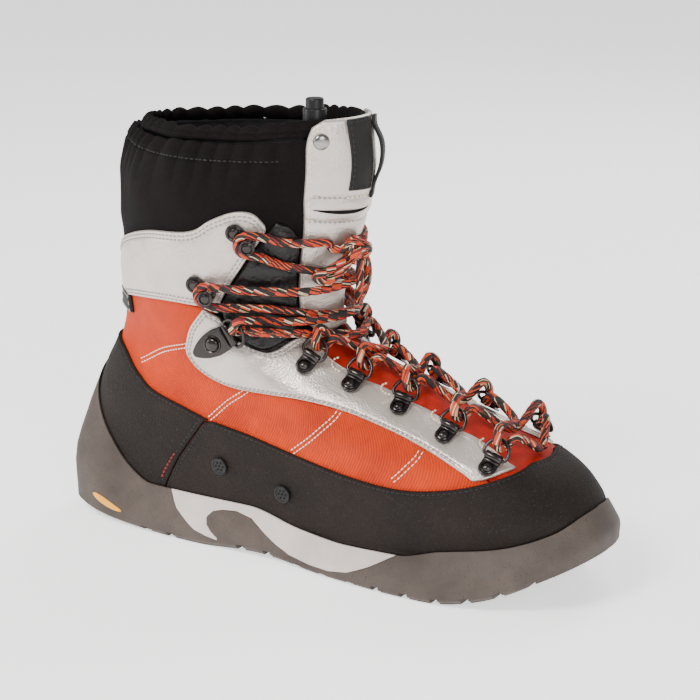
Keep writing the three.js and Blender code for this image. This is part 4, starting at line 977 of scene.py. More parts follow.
# %% [markdown]
# ## Sole
# The sole is moulded in two rubbers. One closed block gives its wall, then Boolean modifiers cut
# out the foot's space, split the pale midsole from the dark outsole and cut the tread. A Boolean
# modifier needs closed meshes, and its result is kept as a plain mesh.

# %% Sole wall
SEAT = [[-60, 22], [45, 22], [80, 19], [112, 15.5], [170, 15.5], [195, 19], [226, 26], [248, 33], [275, 43]]
SOLE_FLARE = [[0, 17.5], [0.06, 12], [0.15, 10], [0.3, 6.5], [0.44, 5], [0.6, 9], [0.75, 12], [0.9, 11], [1, 8]]
SOLE_UNDERCUT = [[0, 16], [0.06, 9], [0.15, 5], [0.3, 3], [0.9, 4], [1, 10]]
WALL = [[0, 0], [0.25, 0.5], [0.6, 1], [0.88, 0.95], [1, 1]]
LIP, ARCH_FROM, ARCH_TO, ARCH_RISE, SPRING_FROM, SPRING_RATE = 1.8, 44, 126, 2.5, 188, 0.0048
MIDSOLE = [[18, 60], [20, 30], [28, 26], [34, 18], [41, 13], [47, 8.6], [54, 6.6], [61.5, 5.4], [61.5, 6.6],
           [58, 9.4], [55, 13], [54.5, 17], [58, 20.6], [64, 22.4], [73, 23.4], [83, 21.6], [91, 16], [99, 11],
           [108, 7], [121, 5], [134, 4.8], [146, 7], [158, 12], [171, 19], [182, 26], [182, 60]]  # x and z
GROOVES = [(x, 3.4) for x in (-19, 13, 30, 76, 93, 163, 180, 197, 213, 229, 244)]  # x and depth
GROOVES += [(x, 1.8) for x in (111, 128, 146)]
GROOVE_WIDTH, CUT_REACH = 4.5, 90

def tread_height(x):
    x = np.asarray(x, float)
    arch = ARCH_RISE * np.sin(np.pi * np.clip((x - ARCH_FROM) / (ARCH_TO - ARCH_FROM), 0, 1)) ** 2
    return np.where(x > SPRING_FROM, SPRING_RATE * (x - SPRING_FROM) ** 2, arch)

def sole_wall(u, q, proud=0.0):
    """A point of the sole's wall: q is 0 at its top edge and 1 at the tread."""
    u, q = np.broadcast_arrays(np.asarray(u, float), np.asarray(q, float))
    edge_v = follow(FEATHER, 1, folded(u))
    edge, way = last_point(u, edge_v), last_normal(u, edge_v)
    way = unit(way * (1, 1, 0))
    t = length_share(u)
    flare, under = follow(SOLE_FLARE, 1, t), follow(SOLE_UNDERCUT, 1, t)
    tuck = under * ease(q, 0.88, 1.0)
    out = LIP + (flare - LIP) * follow(WALL, 1, q) - tuck + proud
    foot_x = edge[..., 0] + way[..., 0] * (flare - under)
    p = edge + way * out[..., None]
    p[..., 2] = edge[..., 2] + (tread_height(foot_x) - edge[..., 2]) * q
    return p

def plain_object(name, points, faces):
    mesh = bpy.data.meshes.new(name)
    mesh.from_pydata((np.asarray(points, float) * MM).tolist(), [], [tuple(map(int, f)) for f in faces])
    mesh.update()
    made = bpy.data.objects.new(name, mesh)
    scene.collection.objects.link(made)
    return made

def side_prism(name, outline):
    """A side view (x, z) pushed through the boot's width, facing outwards."""
    o = np.asarray(outline, float)
    if signed_area(o) < 0:
        o = o[::-1]
    n = len(o)
    points = np.vstack([np.column_stack([o[:, 0], np.full(n, y), o[:, 1]]) for y in (-CUT_REACH, CUT_REACH)])
    faces = [tuple(range(n)), tuple(range(2 * n - 1, n - 1, -1))]
    faces += [((i + 1) % n, i, i + n, (i + 1) % n + n) for i in range(n)]
    return plain_object(name, points, faces)

def boolean(subject, cutter, operation):
    step = subject.modifiers.new("cut", "BOOLEAN")
    step.object, step.operation, step.solver = cutter, operation, "EXACT"
    bpy.context.view_layer.update()
    made = bpy.data.meshes.new_from_object(subject.evaluated_get(bpy.context.evaluated_depsgraph_get()))
    subject.modifiers.remove(step)
    result = bpy.data.objects.new(subject.name + "_cut", made)
    scene.collection.objects.link(result)
    return result

def folded_cap(base, n):
    """Faces that close a loop of n points, each joining the two halves of the loop."""
    found = []
    for i in range(n // 2):
        a, b, c, d = base + i, base + i + 1, base + (n - i) % n, base + n - i - 1
        found.append((b, a, d) if a == c else (a, c, b) if b == d else (a, c, d, b))
    return found

def discard(*made):
    for item in made:
        bpy.data.objects.remove(item)

n, levels = 220, np.array([1.0, 0.97, 0.94, 0.91, 0.88, 0.8, 0.7, 0.6, 0.5, 0.4, 0.3, 0.2, 0.1, 0.04, 0.0])
wall = np.stack([sole_wall(np.arange(n) / n, np.full(n, q)) for q in levels])
faces = quads(len(levels), n)
top_row = (len(levels) - 1) * n
for low, high in zip(folded_cap(0, n), folded_cap(top_row, n)):
    faces += [low, high[::-1]]
sole_block = plain_object("sole_block", wall.reshape(-1, 3), faces)
print("sole block", len(faces), "faces")

# %% Cutting the sole
rows_v, n = np.linspace(0, 0.5, 40), 160
uu, vv = np.meshgrid(np.arange(n) / n, rows_v)
form = on_last(uu, vv, np.full(uu.shape, OVERLAY_LAYER[1] + GAP)).reshape(-1, 3)
form_faces = quads(len(rows_v), n) + [tuple(range(n - 1, -1, -1)), tuple(range(len(form) - n, len(form)))]
foot_form = plain_object("foot_form", form, form_faces)
seat_line = smooth_line(SEAT, 60)
above_seat = side_prism("above_seat", seat_line + [(275, 300), (-60, 300)])
foot_space = boolean(foot_form, above_seat, "INTERSECT")
hollow_sole = boolean(sole_block, foot_space, "DIFFERENCE")

def grown(outline, by):
    o = np.asarray(outline, float)
    return o + outward(o) * by

midsole_cut = side_prism("midsole_cut", MIDSOLE)
midsole_room = side_prism("midsole_room", grown(MIDSOLE, GAP))
midsole_raw = boolean(hollow_sole, midsole_cut, "INTERSECT")
outsole_raw = boolean(hollow_sole, midsole_room, "DIFFERENCE")
groove_points, groove_faces = [], []
for x, depth in GROOVES:
    half = GROOVE_WIDTH / 2
    low = float(min(tread_height(x - half), tread_height(x + half))) - 4
    o = np.array([(x - half - 0.5, low), (x + half + 0.5, low), (x + half, tread_height(x + half) + depth),
                  (x - half, tread_height(x - half) + depth)], float)
    base = len(groove_points) * 8
    groove_points.append(np.vstack([np.column_stack([o[:, 0], np.full(4, y), o[:, 1]])
                                    for y in (-CUT_REACH, CUT_REACH)]))
    groove_faces += [tuple(base + k for k in f) for f in ((0, 1, 2, 3), (7, 6, 5, 4), (1, 0, 4, 5), (2, 1, 5, 6),
                                                          (3, 2, 6, 7), (0, 3, 7, 4))]
groove_cutter = plain_object("groove_cutter", np.vstack(groove_points), groove_faces)
treaded = boolean(outsole_raw, groove_cutter, "DIFFERENCE")
for name, raw, finish, slot in (("midsole_foam", midsole_raw, FOAM, "midsole_foam"), ("outsole_rubber", treaded,
        RUBBER, "rubber")):
    mesh = raw.data
    mesh.materials.clear()
    mesh.materials.append(finish)
    mesh.shade_smooth()
    mesh.set_sharp_from_angle(angle=math.radians(32))
    raw.name = name
    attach(raw, "root")
    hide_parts(name.split("_")[0])
discard(sole_block, foot_form, above_seat, foot_space, hollow_sole, midsole_cut, midsole_room, outsole_raw,
        groove_cutter)
print("sole", len(midsole_raw.data.polygons), len(treaded.data.polygons))

# %% Heel tag and footbed
def wall_place(x, z):
    """(u, q) of the point of the outer wall at this x and z."""
    us, qs = np.meshgrid(np.linspace(0.02, 0.2, 150), np.linspace(0.2, 1, 80))
    p = sole_wall(us, qs)
    k = np.argmin((p[..., 0] - x) ** 2 + (p[..., 2] - z) ** 2)
    return us.ravel()[k], qs.ravel()[k]

(tag_u0, tag_q), (tag_u1, _) = wall_place(-24, 14.5), wall_place(-3, 14.5)
steps, across = 26, 7
uu, ww = np.meshgrid(np.linspace(tag_u0, tag_u1, steps), np.linspace(-1, 1, across))
half_tall = 0.055 * np.sin(np.pi * (np.arange(steps) + 0.4) / (steps - 0.2)) ** 0.5
grid = lambda proud: sole_wall(uu, tag_q + ww * half_tall[None, :], proud)
tag = np.vstack([grid(0.55 * (1 - 0.5 * ww ** 2)).reshape(-1, 3), grid(-0.4).reshape(-1, 3)])
m = steps * across
tag_net = quads(across, steps, wrap_columns=False)
tag_faces = [f[::-1] for f in tag_net] + [tuple(i + m for i in f) for f in tag_net]
rim = list(range(steps)) + [r * steps + steps - 1 for r in range(1, across)] + [m - 1 - c for c in range(1, steps)] \
    + [r * steps for r in range(across - 2, 0, -1)]
tag_faces += [(rim[i], rim[(i + 1) % len(rim)], rim[(i + 1) % len(rim)] + m, rim[i] + m) for i in range(len(rim))]
make_piece("heel_tag", [(tag, tag_faces)], YELLOW)

BED_STEPS, BED_RINGS = 160, (0, 0.03, 0.1, 0.25, 0.45, 0.65, 0.85)

def seat_height(x):
    return np.interp(x, *np.transpose(seat_line))

loop = []
for u_k in np.arange(BED_STEPS) / BED_STEPS:
    vs = np.linspace(0, 0.2, 240)
    p = on_last(np.full(240, u_k), vs, np.full(240, LINING_LAYER[0] - GAP))
    loop.append(p[np.argmin(np.abs(p[:, 2] - (seat_height(p[:, 0]) + 3.0)))])
loop = np.array(loop)
spine = (loop + loop[(-np.arange(BED_STEPS)) % BED_STEPS]) / 2

def bed(lift, dome):
    out = []
    for s in BED_RINGS:
        p = loop * (1 - s) + spine * s
        p[:, 2] = seat_height(p[:, 0]) + lift + dome * (1 - s) ** 2
        out.append(p)
    return np.array(out)

upper, lower = bed(5.2, 1.6), bed(0.3, 0)
bed_points = np.vstack([lower[::-1].reshape(-1, 3), upper.reshape(-1, 3)])
bed_faces = quads(2 * len(BED_RINGS), BED_STEPS)
bed_faces += folded_cap(0, BED_STEPS) + [face[::-1] for face in folded_cap(len(bed_points) - BED_STEPS, BED_STEPS)]
make_piece("footbed_pad", [(bed_points, bed_faces, bed_points[:, :2])], LINING, replaces=["footbed"])
print("sole and footbed done")

# %% [markdown]
# ## Lace hardware
# Every fitting is made once in its own flat frame, in millimetres: the origin at its rivet, X
# towards the lace and Z straight out of the leather. A 4x4 frame on the last then puts it in
# place, so both sides and all rows share one model. Rings and rollers ride on their own bodies.

# %% Frames on the last
RING_ROWS = [((0.409, 0.235), (0.435, 0.27), 0.2), ((0.411, 0.333), (0.438, 0.36), 0.2),
             ((0.406, 0.415), (0.44, 0.448), 0.3), ((0.381, 0.473), (0.416, 0.508), 0.9),
             ((0.353, 0.52), (0.397, 0.565), 0.9)]  # rivet, ring, packing under it
LOCK = ((0.267, 0.552), (0.322, 0.615))
MID_HOOK, TOP_HOOK = ((0.271, 0.702), (0.29, 0.688)), ((0.309, 0.818), (0.328, 0.802))
WIRE, TUBE_OUT, TUBE_IN = 0.9, 2.2, 1.25
CLIP_WIDTH, CLIP_THICK, CLIP_BAR = 9.0, 1.3, 6.5
LOCK_WIDTH, LOCK_THICK, LOCK_BAR, LOCK_LENGTH = 14.0, 1.5, 12.5, 24.0
RING_SIZE, LOCK_RING_SIZE, RING_TILT, LOCK_TILT = (6.2, 9.6), (7.4, 10.4), 24, 22  # half width and reach; degrees
HOOK_STEM_AT, HOOK_STEM, ROLLER, ROLLER_TALL, HOOK_THICK = 8.4, 1.15, 2.5, 5.6, 1.4
LACE, LACE_CLEAR = 2.2, 0.9
BAR_HEIGHT = WIRE + GAP + 0.05 + 1.0

def spot(place, side):
    return place if side == "lateral" else (1 - place[0], place[1])

def frame_on(start, toward, h):
    origin = on_last(start[0], start[1], h)
    z = last_normal(start[0], start[1])
    x = on_last(toward[0], toward[1], h) - origin
    x = unit(x - z * np.dot(x, z))
    made = np.eye(4)
    made[:3, 0], made[:3, 1], made[:3, 2], made[:3, 3] = x, np.cross(z, x), z, origin
    return made

def moved(place, x=0.0, z=0.0, tilt=0.0):
    c, s = math.cos(math.radians(tilt)), math.sin(math.radians(tilt))
    step = np.array([[c, 0, -s, x], [0, 1, 0, 0], [s, 0, c, z], [0, 0, 0, 1.0]])
    return place @ step

def lathe_loop(profile, sides, axis="z", centre=(0, 0, 0)):
    """A ring-like shape turned from a closed profile of (radius, height)."""
    angle = np.linspace(0, 2 * np.pi, sides, endpoint=False)
    points = np.vstack([np.stack([r * np.cos(angle), r * np.sin(angle), np.full(sides, z)], -1) for r, z in profile])
    if axis == "y":
        points = points[:, [1, 2, 0]]
    return points + np.asarray(centre, float), quads(len(profile), sides, wrap_rows=True)

def ring_loop(half, reach):
    side = [(0, half - 1.2), (1.4, half), (0.6 * reach, 0.9 * half), (0.9 * reach, 0.5 * half)]
    loop = [(0, 0), (0, half / 2)] + side + [(reach, 0)] + [(x, -y) for x, y in side[::-1]] + [(0, -half / 2)]
    return tube(even_steps(centripetal([(x, y, 0) for x, y in loop], True), 0.6, True), WIRE, 14, closed=True)

def rolled_edge(x, width):
    """The rolled end of a clip, a tube with bevelled ends, that holds the ring's bar."""
    w = width / 2
    outer = [(TUBE_IN, -w), (TUBE_OUT - 0.25, -w), (TUBE_OUT, -w + 0.3), (TUBE_OUT, w - 0.3), (TUBE_OUT - 0.25, w),
             (TUBE_IN, w)]
    return lathe_loop(outer, 28, "y", (x, 0, BAR_HEIGHT))

def bead(x, z, width, radius):
    w = width / 2
    rod = [(0, -w), (radius * 0.7, -w + 0.1), (radius, -w + 0.45), (radius, w - 0.45), (radius * 0.7, w - 0.1),
           (0, w)]
    return turned(rod, (x, 0, z), 14, "y")

def stud(r, z0, rise, bezel):
    """A domed rivet head in a raised ring."""
    cap = [(r * math.cos(a), z0 + 0.25 + (rise - 0.25) * math.sin(a)) for a in np.linspace(0.25, 1.45, 8)]
    dome = [(0, z0), (r - 0.1, z0), (r, z0 + 0.25), *cap, (0, z0 + rise)]
    ring = lathe_loop([(r + 0.15, z0 - 0.2), (r + bezel + 0.3, z0 - 0.2), (r + bezel + 0.2, z0 + 0.45),
                       (r + bezel * 0.6, z0 + 0.75), (r + 0.25, z0 + 0.45)], 36)
    return [turned(dome, sides=36), ring]

# %% Clips, lock plates and their rings
clip_outline = arc(0, 0, CLIP_WIDTH / 2, 90, 270, 24) + [(CLIP_BAR - 1.2, -CLIP_WIDTH / 2),
                                                         (CLIP_BAR - 1.2, CLIP_WIDTH / 2)]
clip_shapes = [plate(clip_outline, 0, CLIP_THICK, 0.5), *stud(2.5, CLIP_THICK, 1.9, 0.7),
               rolled_edge(CLIP_BAR, CLIP_WIDTH), bead(3.9, CLIP_THICK + 0.35, CLIP_WIDTH - 0.6, 0.8)]
lock_end = LOCK_BAR - 1.2
lock_tail = LOCK_BAR - 1.6 - LOCK_LENGTH
lock_outline = smooth_line([(lock_end, LOCK_WIDTH / 2 - 1.2), (2, LOCK_WIDTH / 2), (-6, 5.4), (lock_tail + 1.2, 2.2),
                            (lock_tail, 0), (lock_tail + 1.2, -2.2), (-6, -5.4), (2, -LOCK_WIDTH / 2),
                            (lock_end, -LOCK_WIDTH / 2 + 1.2)], 60)
lock_shapes = [plate(lock_outline, 0, LOCK_THICK, 0.6), *stud(3.6, LOCK_THICK, 2.0, 1.1),
               rolled_edge(LOCK_BAR, LOCK_WIDTH - 3), bead(8.3, LOCK_THICK + 0.3, LOCK_WIDTH - 2.4, 0.85)]
rings, hooks = ({side: [] for side in SIDES} for _ in range(2))
for side in SIDES:
    for k, (rivet, ring_at, packing) in enumerate(RING_ROWS, 1):
        place = frame_on(spot(rivet, side), spot(ring_at, side), SEATED + packing)
        make_piece(f"clip_metal_{side}_{k}", clip_shapes, GUNMETAL, replaces=[f"clip_{side}_{k}"],
                   place=place, smooth_angle=40)
        ring_frame = moved(place, CLIP_BAR, BAR_HEIGHT, RING_TILT)
        make_piece(f"ring_wire_{side}_{k}", [ring_loop(*RING_SIZE)], GUNMETAL, f"ring_{side}_{k}",
                   [f"ring_{side}_{k}"], place=ring_frame)
        rings[side].append((ring_frame, RING_SIZE[1], spot(ring_at, side)))
    place = frame_on(spot(LOCK[0], side), spot(LOCK[1], side), SEATED + 0.5)
    make_piece(f"lock_metal_{side}", lock_shapes, GUNMETAL, replaces=[f"lock_plate_{side}"], place=place,
               smooth_angle=40)
    lock_frame = moved(place, LOCK_BAR, BAR_HEIGHT, LOCK_TILT)
    make_piece(f"lock_wire_{side}", [ring_loop(*LOCK_RING_SIZE)], GUNMETAL, f"lock_ring_{side}",
               [f"lock_ring_{side}"], place=lock_frame)
    rings[side].append((lock_frame, LOCK_RING_SIZE[1], spot(LOCK[1], side)))
print("clips and rings done")

# %% Hooks: a riveted plate, a stem, a turning roller and an eight-sided hood
def hood(r, z0, thick):
    return plate(arc(0, 0, r, 22.5, 337.5, 7), z0, z0 + thick, 0.55)

def shifted(shape, x):
    return (shape[0] + np.array([x, 0, 0.0]), *shape[1:])

hood_low = HOOK_THICK + GAP + ROLLER_TALL + GAP
hook_outline = arc(0, 0, 4.75, 78, 282, 24) + arc(HOOK_STEM_AT, 0, 3.75, 282, 438, 20)
stem = turned([(0, 0.8), (HOOK_STEM, 0.8), (HOOK_STEM, hood_low + 0.3), (0, hood_low + 0.3)], sides=20)
hook_shapes = [plate(hook_outline, 0, HOOK_THICK, 0.5), *stud(2.7, HOOK_THICK - 0.1, 1.2, 1.2)]
post = (stem, hood(4.3, hood_low, 1.3), *stud(2.3, hood_low + 1.2, 0.9, 0.9))
hook_shapes += [shifted(shape, HOOK_STEM_AT) for shape in post]
roller_profile = [(HOOK_STEM + GAP, 0), (ROLLER - 0.2, 0), (ROLLER, 0.2), (ROLLER, 0.6), (ROLLER - 0.5, 1.2),
                  (ROLLER - 0.5, ROLLER_TALL - 1.2), (ROLLER, ROLLER_TALL - 0.6), (ROLLER, ROLLER_TALL - 0.2),
                  (ROLLER - 0.2, ROLLER_TALL), (HOOK_STEM + GAP, ROLLER_TALL)]
for side in SIDES:
    for name, (rivet, ring_at) in (("mid", MID_HOOK), ("top", TOP_HOOK)):
        at_u, at_v = spot(ring_at, side)
        rivet_u, rivet_v = spot(rivet, side)
        place = moved(frame_on((at_u, at_v), (2 * at_u - rivet_u, 2 * at_v - rivet_v), SEATED + 0.3), -HOOK_STEM_AT)
        make_piece(f"hook_metal_{name}_{side}", hook_shapes, GUNMETAL, replaces=[f"hook_{name}_{side}"],
                   place=place, smooth_angle=40)
        make_piece(f"roller_metal_{name}_{side}", [lathe_loop(roller_profile, 32)], STEEL,
                   f"roller_{name}_{side}", [f"roller_{name}_{side}"],
                   place=moved(place, HOOK_STEM_AT, HOOK_THICK + GAP), smooth_angle=40)
        across_to = (at_u + (0.02 if side == "lateral" else -0.02), at_v)
        hooks[side].append((frame_on((at_u, at_v), across_to, SEATED + 0.3 + HOOK_THICK + GAP), None, (at_u, at_v)))
print("hooks done")

# %% [markdown]
# ## Laces
# Two strands climb in an X from ring to ring, round the hooks and into the knot. Each takes the
# same rings and hooks as its CAD strand, and stands a little higher over the lower tongue. The
# braid is real relief on a fine tube: four ridges run each way round and cross, and the flecks of
# colour follow the length and the way round.

# %% Route of each strand
ON_TONGUE = BASE_LAYER[1] + GAP + LACE + 0.4
ON_PAD = OVERLAY_LAYER[1] + GAP + LACE + 0.4
ON_SHIELD = SHIELD_TOP + GAP + LACE + 0.7
CROSSING_RISE = 2 * LACE + 0.3
TONGUE_LIFT = 2.4  # how much higher the laces stand over the lower tongue
BEND_SLACK = 0.2
LACE_STEP = 0.42
HALF_TURN = [math.radians(a) for a in (-90, -135, -180, -225, -270)]

def up_sign(place, at_uv):
    up = last_point(at_uv[0], at_uv[1] + 0.01) - last_point(at_uv[0], at_uv[1] - 0.01)
    return float(np.sign(np.dot(place[:3, 1], up))) or 1.0

def in_frame(place, points):
    return [place[:3, :3] @ np.array(p, float) + place[:3, 3] for p in points]

def through_ring(place, reach, at_uv):
    up, round_by = up_sign(place, at_uv), LACE + LACE_CLEAR + WIRE + BEND_SLACK
    bend = []
    for k, a in enumerate(HALF_TURN):
        bend.append((reach + round_by * math.cos(a), (k - 2) * 1.2 * up, round_by * math.sin(a)))
    return in_frame(place, [(reach + 4.2, -4.2 * up, -2.6), *bend, (reach + 4.2, 4.2 * up, 2.6)])

def round_hook(place, at_uv):
    up, r, z = up_sign(place, at_uv), ROLLER + 0.65 + LACE, ROLLER_TALL / 2
    bend = [(r * math.cos(a), r * math.sin(a) * up, z) for a in HALF_TURN]
    return in_frame(place, [(5, -r * up, z), *bend, (5, r * up, z)])

def lying(u, v):
    bend = 1.1 if 0.57 < v < 0.72 else 0
    if v > 0.607 and abs(u - 0.5) < 0.115:
        return ON_SHIELD + bend
    return (ON_TONGUE if v < 0.607 and abs(u - 0.5) < 0.07 else ON_PAD) + bend

def over_crest(start, end, rise):
    (u0, v0), (u1, v1) = start, end
    sign = 1 if u1 > u0 else -1
    reach_out = min(abs(u0 - 0.5), abs(u1 - 0.5)) - 0.045
    crest = (v0 + v1) / 2
    out = []
    for s in ((-1, -0.65, -0.3, 0, 0.3, 0.65, 1) if reach_out > 0.05 else (0,)):
        u = 0.5 + s * sign * reach_out
        v = crest + ((v1 - v0) / abs(u1 - u0)) * (u - 0.5) * sign
        out.append(on_last(u, v, lying(u, v) + rise * (1 if abs(s) < 0.9 else 0.55)))
    return out

SLANT = [0, 0, 0, 0, -0.009, 0.012, 0.022]  # added to v where a crossing starts, taken off where it ends

def strand_route(first, high_first):
    second, sign = ("medial", -1) if first == "lateral" else ("lateral", 1)
    points = [on_last(0.5 + sign * 0.0045, 0.262, ON_TONGUE + 0.4)]
    stations = [("ring", *rings[second if k % 2 else first][k]) for k in range(6)]
    stations += [("hook", *hooks[first][0]), ("hook", *hooks[second][1])]
    for k, (kind, place, reach, at_uv) in enumerate(stations):
        points += through_ring(place, reach, at_uv) if kind == "ring" else round_hook(place, at_uv)
        if k == len(stations) - 1:
            break
        to = stations[k + 1][3]
        climb = 0.5 * (to[1] - at_uv[1])
        points += over_crest((at_uv[0], CROSSINGS[k] - climb + SLANT[k]), (to[0], CROSSINGS[k] + climb - SLANT[k]),
                             (CROSSING_RISE if (k % 2 == 0) == high_first else 0) + (TONGUE_LIFT if k < 5 else 0))
    points += [on_last(0.5 - sign * u, 0.81, ON_SHIELD + 0.2) for u in (0.13, 0.1, 0.07)]
    into_knot = [(0.522, 0.6), (0.505, 2.0), (0.492, 3.0)] if sign < 0 else [(0.436, 0.8), (0.455, 2.2), (0.472, 3.4)]
    points += [on_last(u, 0.803, ON_SHIELD + h) for u, h in into_knot]
    return np.array(points)

# %% Braided tubes
BRAID_TURN, BRAID_RISE = 1.15, 0.17

def braid(run, angle):
    one, two = np.cos(4 * angle + run * BRAID_TURN), np.cos(4 * angle - run * BRAID_TURN)
    return BRAID_RISE * np.maximum(one, two) - 0.1

def lace_shape(line, radius, sides):
    return tube(line, radius, sides, relief=braid)

for name, first, high in (("lace_strand_a", "lateral", True), ("lace_strand_b", "medial", False)):
    line = even_steps(centripetal(strand_route(first, high)), LACE_STEP)
    piece = make_piece("braided_" + name, [lace_shape(line, LACE, 24)], LACE_BRAID, replaces=[name])

# %% Knot and loops
KNOT_AT = (0.478, 0.803)
knot_frame = frame_on(KNOT_AT, (0.52, 0.803), SHIELD_TOP + GAP + 5.4)
wraps = []
for k in range(49):
    a = 2 * math.pi * 2.0 * k / 48
    wraps.append((-5.5 + 11 * k / 48, 5.0 * math.cos(a), 3.5 * math.sin(a)))
tie = [(-8, -1.5, -0.5), (-6, 4.0, 1.4), (0.5, 5.2, 4.4), (5.6, 1.5, 4.8), (5.4, -4.2, 2.6), (0.5, -5.6, 3.4),
       (-4.6, -2.6, 5.0), (-2.0, 2.4, 6.4), (4.4, 3.4, 4.4), (8.6, 1.0, 0.6)]
LOOPS = [[(0.47, 0.797, 8), (0.45, 0.785, 11), (0.428, 0.768, 12), (0.415, 0.757, 12), (0.432, 0.749, 12),
          (0.452, 0.770, 12.4), (0.474, 0.792, 9.5)],
         [(0.49, 0.797, 8), (0.5, 0.785, 12), (0.510, 0.745, 14), (0.507, 0.712, 13.4), (0.496, 0.706, 13.8),
          (0.488, 0.742, 14.6), (0.486, 0.788, 11.0)]]  # u, v and height of the left and the lower loop
bow_lines = [in_frame(knot_frame, wraps), in_frame(knot_frame, tie)] + [[on_last(*p) for p in loop] for loop in LOOPS]
bow_shapes = [lace_shape(even_steps(centripetal(line), LACE_STEP), LACE - 0.1, 22) for line in bow_lines]
make_piece("lace_knot_and_loops", bow_shapes, LACE_BRAID, replaces=["lace_bow"])
print("knot done")

# %% [markdown]
# ## Small trim
# A snap, two drain vents, the woven label strap, the webbing loop, a side tag and the toggle of
# the hem's cord finish the boot. The label and the tag are left plain, with no lettering.

# %% Snap, vents and toggle
snap_frame = frame_on((0.4, 0.972), (0.41, 0.972), SHIELD_TOP + GAP + 0.5)
snap_dome = [(4.0 * math.cos(a), 0.5 + 1.6 * math.sin(a)) for a in np.linspace(0.15, 1.45, 9)]
snap = turned([(0, -0.4), (3.9, -0.4), (4.2, 0), (4.0, 0.5), *snap_dome, (0, 2.1)])
make_piece("snap_cap", [snap], STEEL, replaces=["tongue_snap"], place=snap_frame, smooth_angle=50)

hole_marks = []
for name, at_uv in (("vent_rear", (0.198, 0.113)), ("vent_front", (0.239, 0.072))):
    place = frame_on(at_uv, (at_uv[0] + 0.01, at_uv[1]), SEATED + 0.15)
    face = [(0, 0), (4.6, 0), (4.8, 0.3), (4.75, 1.1), (4.4, 1.5), (3.9, 1.5), (3.6, 1.05), (0, 0.95)]
    make_piece(name + "_button", [turned(face)], PLASTIC, replaces=[name], place=place,
               smooth_angle=50)
    spots = [(0, 0, 1.0)] + [(2.2 * math.cos(k * math.pi / 3), 2.2 * math.sin(k * math.pi / 3), 1.02)
                             for k in range(6)]
    hole_marks += in_frame(place, spots)

BARREL, BARREL_TALL, BARREL_SHOWS = 6, 17, 9.0
toggle_foot = on_last(0.4, 0.985, LINING_LAYER[0] - GAP - BARREL - 0.6) + np.array([0, 0, BARREL_SHOWS - BARREL_TALL])
barrel = [(0, 0), (5.0, 0), (5.7, 0.35), (6, 1.0), (6, 16.5), (5.85, 16.85), (5.5, 17), (5.1, 17), (4.85, 16.8),
          (4.85, 5), (0, 5)]
toggle_frame = np.eye(4)
toggle_frame[:3, 3] = toggle_foot
make_piece("toggle_body", [turned(barrel, sides=48)], PLASTIC, replaces=["toggle_barrel"],
           place=toggle_frame, smooth_angle=40)
plunger_frame = moved(toggle_frame, 0, 10.0)
make_piece("toggle_button", [turned([(0, 0), (4.2, 0), (4.6, 0.3), (4.6, 11.2), (4.45, 11.7), (4.1, 12.0), (0, 12.0)],
                                    sides=48)], PLASTIC, "toggle_plunger", ["toggle_plunger"],
           place=plunger_frame, smooth_angle=40)
print("snap, vents and toggle done")

# %% Straps: a flat woven band swept along a line
def strap(line, width, thick, normal):
    """normal: outward direction at each point. Rounded section, closed ends."""
    line, normal = np.asarray(line, float), unit(np.asarray(normal, float))
    ahead = unit(np.gradient(line, axis=0))
    normal = unit(normal - ahead * (normal * ahead).sum(1, keepdims=True))
    side = np.cross(ahead, normal)
    w, t = width / 2, thick / 2
    section = [(w * x, t * y) for x, y in ((-1, -0.4), (-0.94, -0.9), (-0.8, -1), (-0.4, -1), (0, -1), (0.4, -1),
                                           (0.8, -1), (0.94, -0.9), (1, -0.4), (1, 0.4), (0.94, 0.9), (0.8, 1),
                                           (0.4, 1), (0, 1), (-0.4, 1), (-0.8, 1), (-0.94, 0.9), (-1, 0.4))]
    k = len(section)
    points = np.stack([line + side * a + normal * b for a, b in section], 1).reshape(-1, 3)
    run = run_along(line)
    flat = np.stack(np.broadcast_arrays(run[:, None], np.array([a for a, b in section])[None, :]), -1).reshape(-1, 2)
    faces = [f for f in quads(len(line), k)]
    faces += [tuple(range(k - 1, -1, -1)), tuple(range(len(points) - k, len(points)))]
    return points, faces, flat

LOOP_U, LOOP_LOW, LOOP_HIGH, STANDOFF = 0.528, 0.9, 0.985, 4.6
rows_in = [(LOOP_LOW - 0.02, 1.2), (LOOP_LOW, 1.2), (LOOP_LOW + 0.03, STANDOFF * 0.8), (LOOP_LOW + 0.05, STANDOFF),
           (LOOP_HIGH - 0.02, STANDOFF * 0.9), (LOOP_HIGH, 1.2), (LOOP_HIGH + 0.012, 1.2)]
webbing = even_steps(centripetal([on_last(LOOP_U, v, SHIELD_TOP + GAP + h) for v, h in rows_in]), 0.8)
make_piece("webbing_pull", [strap(webbing, 9, 1.7, np.tile(last_normal(LOOP_U, 0.94), (len(webbing), 1)))], STRAP,
           replaces=["webbing_loop"], smooth_angle=60)
drape("label_band", box2(0.446, 0.502, 0.897, 0.998), (SHIELD_TOP + 0.9, SHIELD_TOP + 2.4), STRAP,
      ["label_strap"], net=1.6, roll=0.5, rows=(1.2,), thread="dark", dip=0.15)
drape("side_tag", box2(0.046, 0.112, 0.530, 0.582), (OVERLAY_LAYER[0] + 0.2, OVERLAY_LAYER[1] + 0.5), STRAP,
      net=1.6, roll=0.5, rows=(1.1,), thread="grey", dip=0.15)

